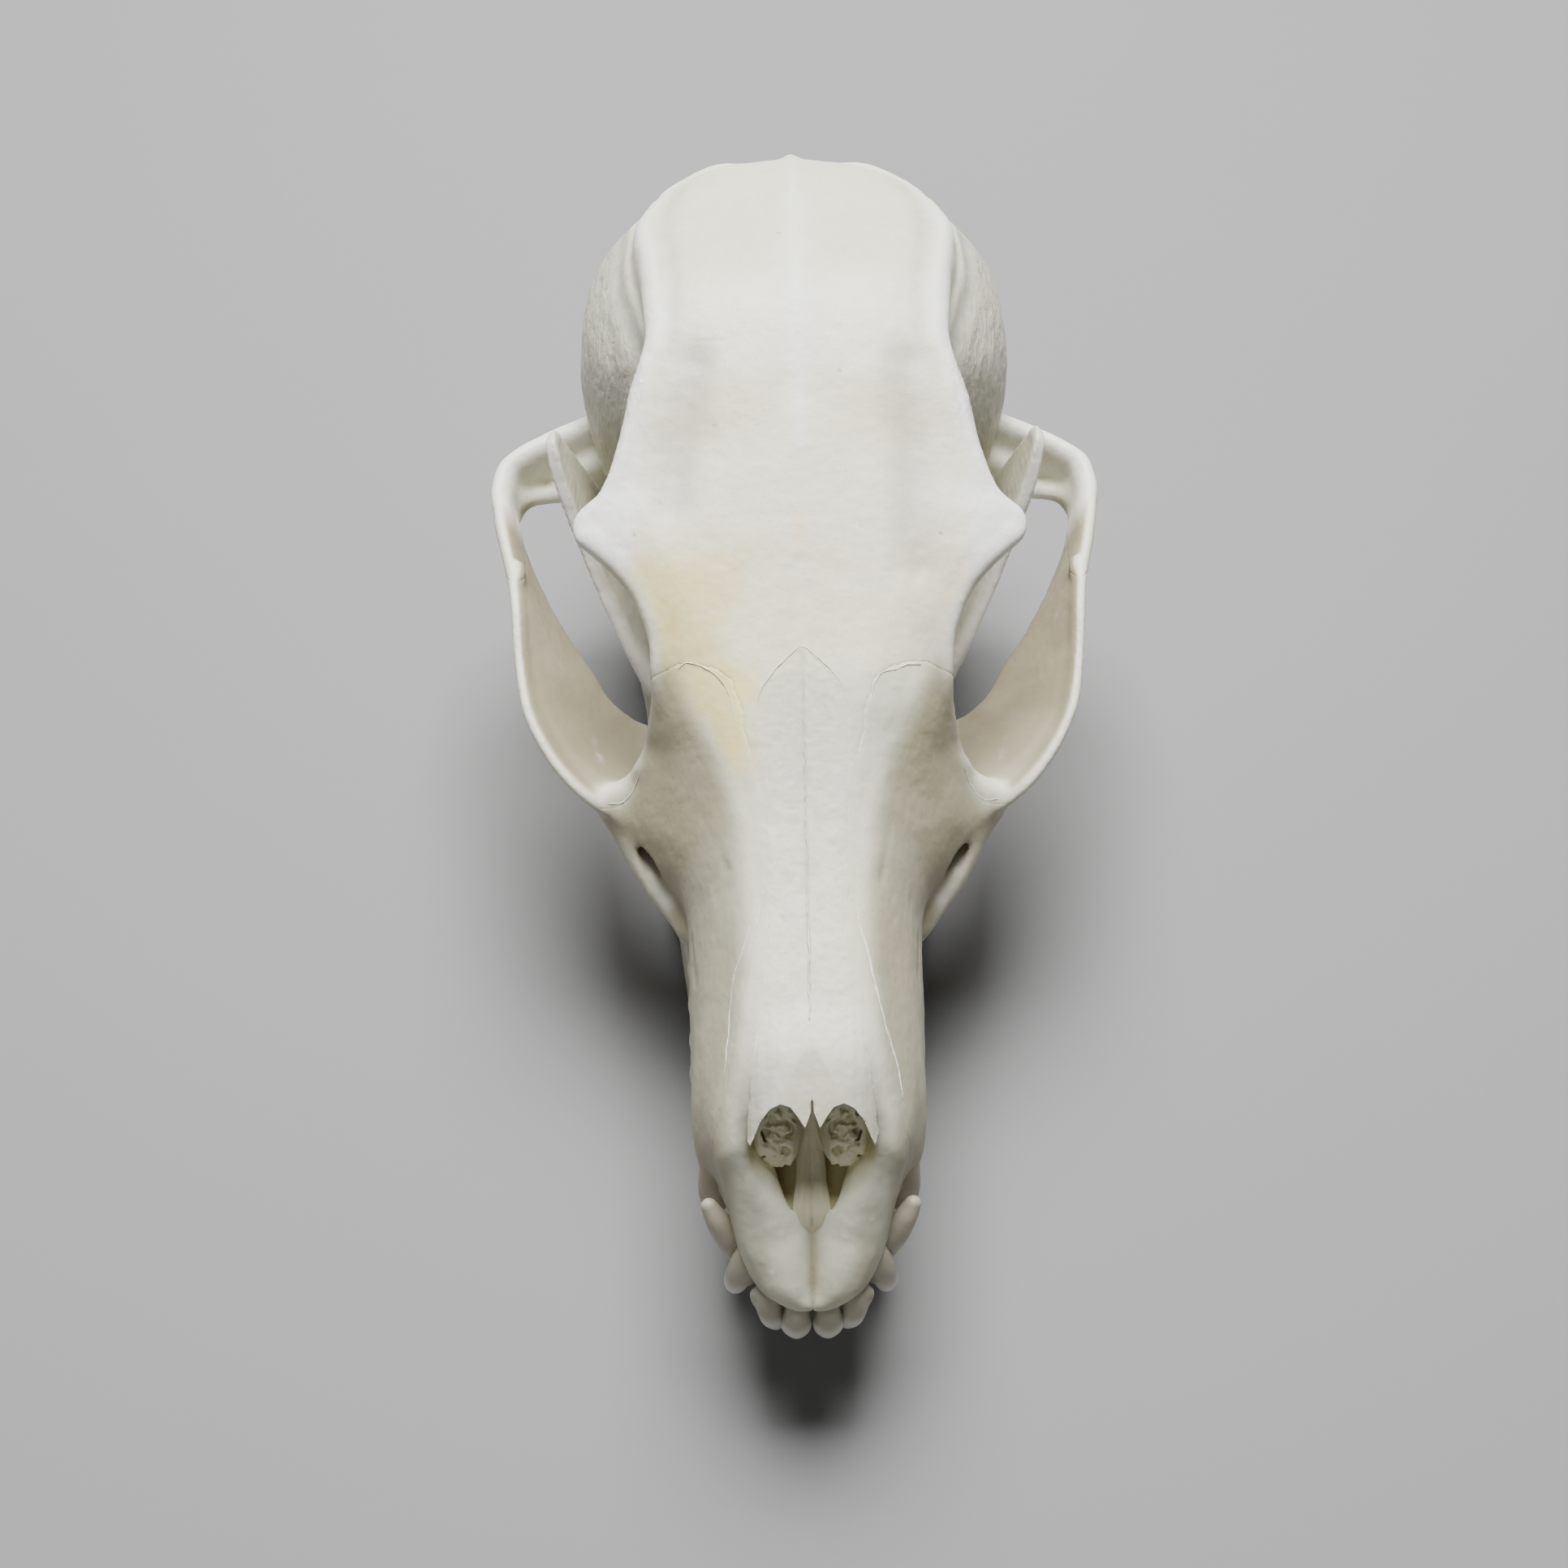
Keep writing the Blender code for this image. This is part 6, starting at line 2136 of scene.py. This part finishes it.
@dataclass(frozen=True)
class Dentition:
    """All teeth; those of the left side are made and mirrored."""

    voxel: float = 0.14
    blend: float = 0.7

    def upper(self) -> dict[str, list]:
        """The upper teeth of one side by group."""
        blade = (Cusp(0, 0.1, 1, 1.05, 0.3, 0.5), Cusp(1.9, 0, 0.5, 0.8, 0.3),
                 Cusp(-1.9, 0, 0.42, 0.7, 0.3))
        return {
            "incisors": [
                Fang(((1.2, 1.4, 0.2, 0.6), (1.3, -0.1, -1, 0.9), (1.35, -0.9, -2.8, 1.15),
                      (1.4, -1.1, -4.6, 1.15), (1.45, -1.1, -5.6, 0.8)),
                     (((2, -0.8, -3.2, 0.5), (2.2, -0.9, -5, 0.5)),
                      ((0.8, -0.9, -3.4, 0.5), (0.7, -1, -5.2, 0.5)))),
                Fang(((3.2, 2, -0.1, 0.7), (3.6, 0.6, -1.2, 1), (3.75, 0.1, -2.8, 1.2),
                      (3.55, -0.2, -4.5, 1.1), (3.2, -0.3, -5.6, 0.8)),
                     (((4.4, 0.9, -1.3, 0.6), (4.9, 0.9, -2.4, 0.6), (4.9, 0.8, -3.6, 0.45)),)),
                Fang(((5, 5.4, -0.2, 0.9), (5.9, 4, -1.2, 1.1), (6.3, 3.4, -2.8, 1.25),
                      (6.7, 3.3, -4.8, 1.15), (6.9, 3.5, -6.6, 0.8)),
                     (((5.3, 3, -1.8, 0.55), (5.5, 2.8, -3.4, 0.5)),)),
            ],
            "canine": [Fang(((8, 14.4, 6, 1.5), (8.1, 12.2, 2, 1.75), (8.35, 11.4, -1, 1.75),
                             (8.7, 11.5, -5, 1.4), (8.7, 12.6, -9, 1), (8.4, 13.6, -12, 0.4)), (), 1)],
            "cheek": [
                Tooth(8.9, 17, 1.45, 0.95, 0.2, -2.6, 2, (Cusp(-0.2, 0, 1, 0.8, 0.3),)),
                Tooth(8.9, 23.2, 2.6, 1.15, 0.2, -3.9, 2, blade[:1] + (Cusp(1.7, 0, 0.38, 0.6, 0.25),)),
                Tooth(9.7, 30.8, 2.9, 1.25, 0.2, -4.4, 5, blade[:2] + (Cusp(-1.8, 0, 0.36, 0.6, 0.25),)),
                Tooth(12.2, 40.6, 4.7, 1.5, 0.3, -6.2, 18, (
                    Cusp(-0.9, 0.2, 1, 1.4, 0.35, 0.5), Cusp(2.6, 0.3, 0.66, 1.1, 0.4),
                    Cusp(3.9, 0.4, 0.56, 0.8, 0.3), Cusp(-3.6, 0.4, 0.4, 0.8, 0.35),
                    Cusp(-3, -1.9, 0.36, 0.9, 0.4)), 1.7),
                Tooth(12.5, 49.9, 3.1, 3.9, 0.2, -2.9, 12, (
                    Cusp(-1.3, 2.4, 1, 1, 0.35), Cusp(1.4, 2.2, 0.9, 0.9, 0.35),
                    Cusp(-0.6, -0.9, 0.75, 0.9, 0.4), Cusp(0.3, -2.8, 0.6, 1, 0.5)), 1.2),
                Tooth(12.4, 56.2, 2.2, 3, 0.2, -2.4, 12, (
                    Cusp(-0.8, 1.7, 1, 0.8, 0.35), Cusp(0.9, 1.6, 0.85, 0.7, 0.3),
                    Cusp(0, -1.6, 0.7, 0.9, 0.4)), 1),
            ],
        }

    def lower(self) -> dict[str, list]:
        """The lower teeth of one side by group."""
        return {
            "incisors": [
                Tooth(0.95, 3.2, 0.9, 0.75, -8, -4.2, 0, (
                    Cusp(-1, 0.1, 1, 0.6, 0.4, -0.7), Cusp(-0.9, 0.45, 0.8, 0.45, 0.3, -0.5)), 1.6),
                Tooth(2.5, 3.8, 0.95, 0.8, -8, -4.2, 12, (
                    Cusp(-1, 0, 1, 0.65, 0.4, -0.6), Cusp(-0.8, 0.5, 0.75, 0.45, 0.3, -0.5)), 1.6),
                Tooth(4, 5.4, 1, 0.9, -8, -4.4, 25, (
                    Cusp(-0.8, 0, 1, 0.7, 0.45, -0.4), Cusp(-0.7, 0.6, 0.7, 0.5, 0.3, -0.4)), 1.6),
            ],
            "canine": [Fang(((5, 10.2, -12.5, 1.4), (5.2, 8.4, -9.5, 1.7), (5.7, 6.9, -6.5, 1.75),
                             (6.4, 6, -3.6, 1.55), (7.2, 5.6, -0.8, 1.35), (8.2, 6.2, 1.2, 1.1),
                             (9, 7.1, 2.6, 0.75)), (), 0.95)],
            "cheek": [
                Tooth(5.2, 13, 1.2, 0.9, -7.6, -4.8, 8, (Cusp(-0.1, 0, 1, 0.75, 0.3),)),
                Tooth(6.4, 19, 2.1, 1.05, -7.6, -3.4, 10,
                      (Cusp(-0.3, 0, 1, 0.95, 0.3, 0.2), Cusp(1.3, 0, 0.4, 0.5, 0.25))),
                Tooth(7.7, 26, 2.4, 1.15, -7.6, -2.8, 10, (
                    Cusp(-0.3, 0, 1, 1.05, 0.3, 0.2), Cusp(1.6, 0, 0.42, 0.6, 0.25),
                    Cusp(-1.6, 0, 0.36, 0.5, 0.25))),
                Tooth(9.1, 34, 2.7, 1.25, -7.6, -2.6, 11, (
                    Cusp(-0.4, 0, 1, 1.1, 0.3, 0.2), Cusp(1.5, 0, 0.6, 0.7, 0.25),
                    Cusp(2.3, 0, 0.35, 0.5, 0.25), Cusp(-1.8, 0, 0.36, 0.5, 0.25))),
                Tooth(10.4, 43.4, 4.9, 1.6, -7.5, -1.6, 12, (
                    Cusp(-0.7, 0.2, 1, 1.3, 0.35), Cusp(-3.2, 0.2, 0.66, 1.1, 0.35),
                    Cusp(0.9, -0.9, 0.62, 0.8, 0.3), Cusp(3.2, 0.7, 0.42, 0.9, 0.4),
                    Cusp(3.2, -0.7, 0.38, 0.8, 0.35)), 1.8),
            ],
            "molars": [
                Tooth(12.4, 51.6, 2.7, 1.75, -7, -3.8, 12, (
                    Cusp(-1, 0.8, 1, 0.8, 0.35), Cusp(-1, -0.8, 0.9, 0.8, 0.35),
                    Cusp(1.2, 0.7, 0.7, 0.7, 0.3)), 1.2),
                Tooth(13.8, 57, 1.3, 1.15, -6.4, -3.6, 12, (Cusp(0, 0.2, 1, 0.7, 0.4),), 1.1),
            ],
        }

    def surface(self, tooth: Tooth | Fang) -> Surface:
        """One tooth's mesh with its masks."""
        solids = tooth.solids()
        boxes = [solid.box() for solid in solids]
        low = np.min([box[0] for box in boxes], axis=0) - 1.0
        high = np.max([box[1] for box in boxes], axis=0) + 1.0
        block = Volume(tuple(low), tuple(high), self.voxel)
        block.unite(*solids, blend=self.blend)
        block.soften(2)
        found = block.mesh()
        bend = block.coarse(0.5).read(found.points)
        if isinstance(tooth, Fang):
            neck, tip, tone = tooth.path[2][2], tooth.path[-1][2], tooth.tone
        else:
            neck, tip, tone = tooth.neck, tooth.crown, 0.0
        height = (found.points[:, 2] - neck) / (tip - neck)
        # The neck's colour, spread by the tone over the canines as partly painted shade, and painted shade
        # in the hollows and over the whole upper canine.
        masks = {
            Mask.WARM: tone + (1 - tone) * fall(0.0, 0.55, height),
            Mask.HOLLOW: np.maximum(ease(0.03, 0.2, -bend) * 0.6, 0.9 * (tone == 1.0)),
        }
        normals = block.normals(found.points)
        lift = 0.025 * Grain(23).at(found.points, 0.9, 2)
        return Surface(found.points + normals * lift[:, None], found.faces, masks)

    def build(self, material: bpy.types.Material) -> None:
        """Make every group of teeth on both sides.

        Args:
            material: their finish.
        """
        for jaw, groups in (("upper", self.upper()), ("lower", self.lower())):
            for group, teeth in groups.items():
                made = gathered([self.surface(tooth) for tooth in teeth])
                for side in Side:
                    placed = made if side is Side.LEFT else made.mirrored()
                    ride(placed.to_object(f"{jaw}_{group}_{side.word}", material))


# ---------------------------------------------------------------- inside the nose


@dataclass(frozen=True)
class NoseInside:
    """The thin scrolls and the middle wall seen through the nose's opening."""

    voxel: float = 0.13
    seed: int = 37
    pits: int = 460
    # The rounded body that the pits and rods lie over: its middle and its reach along each axis.
    middle: Place = (3.1, 17.1, 8.2)
    reach: Place = (2.4, 8.5, 3.9)
    floor: float = 4.9
    # The front of the nose's floor, as rows of (s, z, width).
    course: Knots = (
        (13.4, 8.4, 0.35), (11.6, 6.7, 0.55), (10.0, 5.5, 0.85), (8.4, 4.8, 1.0), (7.0, 4.6, 1.1),
        (5.9, 4.2, 1.2), (5.1, 3.4, 1.1), (4.5, 2.3, 0.95),
    )

    def block(self) -> Volume:
        """The scrolls of one side and half of the middle wall."""
        block = Volume((0.0, 3.0, 0.2), (5.8, 26.0, 14.7), self.voxel)
        block.unite(Egg((1.9, 17.0, 8.0), (1.7, 8.2, 3.5)), Egg((3.1, 17.0, 7.9), (1.8, 8.5, 3.6)),
                    Egg((4.3, 17.2, 8.6), (1.3, 8.2, 3.8)), Egg((3.2, 18.0, 9.6), (2.4, 7.4, 3.9)),
                    blend=0.8)
        random = np.random.RandomState(self.seed)
        for pit in (True, False):
            for _ in range(self.pits):
                turn, rise = random.uniform(-2.9, -0.2), random.uniform(-1.3, 1.2)
                place = np.array([
                    self.middle[0] + self.reach[0] * math.cos(turn) * math.cos(rise) ** 0.5,
                    self.middle[1] + self.reach[1] * math.sin(turn) * math.cos(rise),
                    self.middle[2] + self.reach[2] * math.sin(rise),
                ])
                if pit:
                    size = random.uniform(0.15, 0.32)
                    block.carve(Egg(tuple(place), (size, size * 2.2, size * random.uniform(0.8, 1.5))),
                                blend=0.1)
                else:
                    way = random.uniform(-0.75, 0.75, 3) * (1.0, 0.5, 1.0)
                    radius = random.uniform(0.08, 0.14)
                    block.add_bar(0.15, (*(place - way), radius), (*(place + way), radius), spacing=0.5)
        block.carve(Prism(((-2.0, 5.0), (8.0, 5.0), (8.0, 28.0), (-2.0, 28.0)), 0.0, self.floor),
                    blend=0.3)
        for across, radius, rise in ((0.3, 0.4, 0.0), (0.78, 0.36, 0.1), (1.16, 0.3, -0.02)):
            rows = [
                (across * wide + 0.05 * math.sin(2.1 * i + 4 * across), s, z + rise, radius)
                for i, (s, z, wide) in enumerate(self.course)
            ]
            block.add_bar(0.15, *rows, spacing=0.5)
        block.add_bar(0.3, (0.0, 14.4, 14.0, 0.3), (0.0, 13.6, 10.0, 0.3), (0.0, 12.6, 7.6, 0.45),
                      spacing=0.6)
        block.soften(1)
        block.unite(Prism(((-1.0, 6.6), (4.2, 6.0), (4.6, 15.0), (-1.0, 15.0)), 3.0, 3.5))
        return block

    def build(self, material: bpy.types.Material) -> None:
        """Make the scrolls.

        Args:
            material: their finish.
        """
        block = self.block()
        whole = block.mirrored()
        surface = whole.mesh()
        masks = {mask: np.zeros(len(surface.points)) for mask in Mask}
        x, s, z = np.abs(surface.points[:, 0]), surface.points[:, 1], surface.points[:, 2]
        low = fall(3.52, 3.7, z) * ease(6.1, 6.7, s)
        masks[Mask.WARM] = 0.3 + 0.5 * low
        masks[Mask.GREY] = 0.6 * fall(1.4, 1.9, x) * (1 - low)
        # Painted shade in the scrolls' hollows, and tan painted shade towards their top, under the nasals.
        masks[Mask.HOLLOW] = 0.5 * ease(0.0, 0.2, -whole.coarse(0.5).read(surface.points)) * (1 - low)
        masks[Mask.TAN] = 0.35 * ease(10.0, 12.5, z) + 0.25 * fall(6.0, 8.5, s) * (1 - low)
        ride(Surface(surface.points, surface.faces, masks).to_object("nose_scrolls", material))


# ---------------------------------------------------------------- floor, light and camera


@dataclass(frozen=True)
class Studio:
    """A plain floor, soft light and the camera at the photograph's viewing angle."""

    floor_half: float = 3.0
    # The camera as solved from the photo: its place in skull millimetres, its angles in radians,
    # and its focal length in pixels of a picture of this size.
    camera_place: Place = (-3.7558, -63.6358, 162.1195)
    azimuth: float = 0.0177184
    below: float = 0.939252
    roll: float = 0.00296941
    focal: float = 2385.91
    picture: float = 1932.0
    sensor: float = 36.0

    def add_floor(self) -> None:
        """Lay the floor under the skull."""
        h = self.floor_half
        mesh = bpy.data.meshes.new("floor")
        mesh.from_pydata([(-h, -h, 0), (h, -h, 0), (h, h, 0), (-h, h, 0)], [], [(0, 1, 2, 3)])
        mesh.materials.append(FloorFinish().material("pale_floor"))
        floor = linked("floor", mesh)

    def add_light(self, name: str, place: Place, target: Place, size: float, power: float) -> None:
        """Hang a square soft light.

        Args:
            name: its name.
            place: where it hangs, in metres.
            target: what it faces.
            size: its side, in metres.
            power: its power, in watts.
        """
        light = bpy.data.lights.new(name, "AREA")
        light.shape = "SQUARE"
        light.size = size
        light.energy = power
        lamp = linked(name, light)
        lamp.location = place
        lamp.rotation_euler = (Vector(target) - Vector(place)).to_track_quat("-Z", "Y").to_euler()

    def add_lights(self) -> None:
        """Hang the lights and set the sky."""
        self.add_light("overhead", (0.0, 0.30, 0.64), (0, 0.0, 0.03), 0.42, 15.6)
        self.add_light("front_fill", (-0.15, -0.7, 0.5), (0, 0.0, 0.03), 0.4, 0.8)
        world = bpy.data.worlds.new("soft_sky")
        world.use_nodes = True
        sky = world.node_tree.nodes["Background"]
        sky.inputs["Color"].default_value = (0.96, 0.98, 1.0, 1.0)
        sky.inputs["Strength"].default_value = 0.05
        bpy.context.scene.world = world

    def add_camera(self) -> None:
        """Set up the camera."""
        lens = bpy.data.cameras.new("camera")
        lens.sensor_width = self.sensor
        lens.lens = self.focal * self.sensor / self.picture
        lens.clip_start, lens.clip_end = 0.005, 20.0
        camera = linked("camera", lens)
        ahead = Vector((
            math.sin(self.azimuth) * math.cos(self.below),
            math.cos(self.azimuth) * math.cos(self.below),
            -math.sin(self.below),
        ))
        right = ahead.cross(Vector((0, 0, 1))).normalized()
        up = right.cross(ahead)
        turned = math.cos(self.roll) * right + math.sin(self.roll) * up
        upright = math.cos(self.roll) * up - math.sin(self.roll) * right
        matrix = Matrix((turned, upright, -ahead)).transposed().to_4x4()
        x, s, z = self.camera_place
        matrix.translation = Vector((x, s - MIDDLE, z - GROUND)) * MM
        camera.matrix_world = matrix
        bpy.context.scene.camera = camera

    def build(self) -> None:
        """Make all of it."""
        self.add_floor()
        self.add_lights()
        self.add_camera()


def main() -> None:
    """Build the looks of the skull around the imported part."""
    logging.basicConfig(level=logging.INFO, format="%(name)s: %(message)s")
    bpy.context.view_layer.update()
    bone = BoneFinish().material("bone")
    enamel = ToothFinish().material("enamel")
    cranium = Cranium()
    blocks = cranium.build(bone)
    Sutures(cranium, blocks).build(SutureFinish().material("suture"))
    (LowerJaw()).build(bone)
    (Dentition()).build(enamel)
    NoseInside().build(bone)
    Studio().build()


if __name__ == "__main__":
    main()
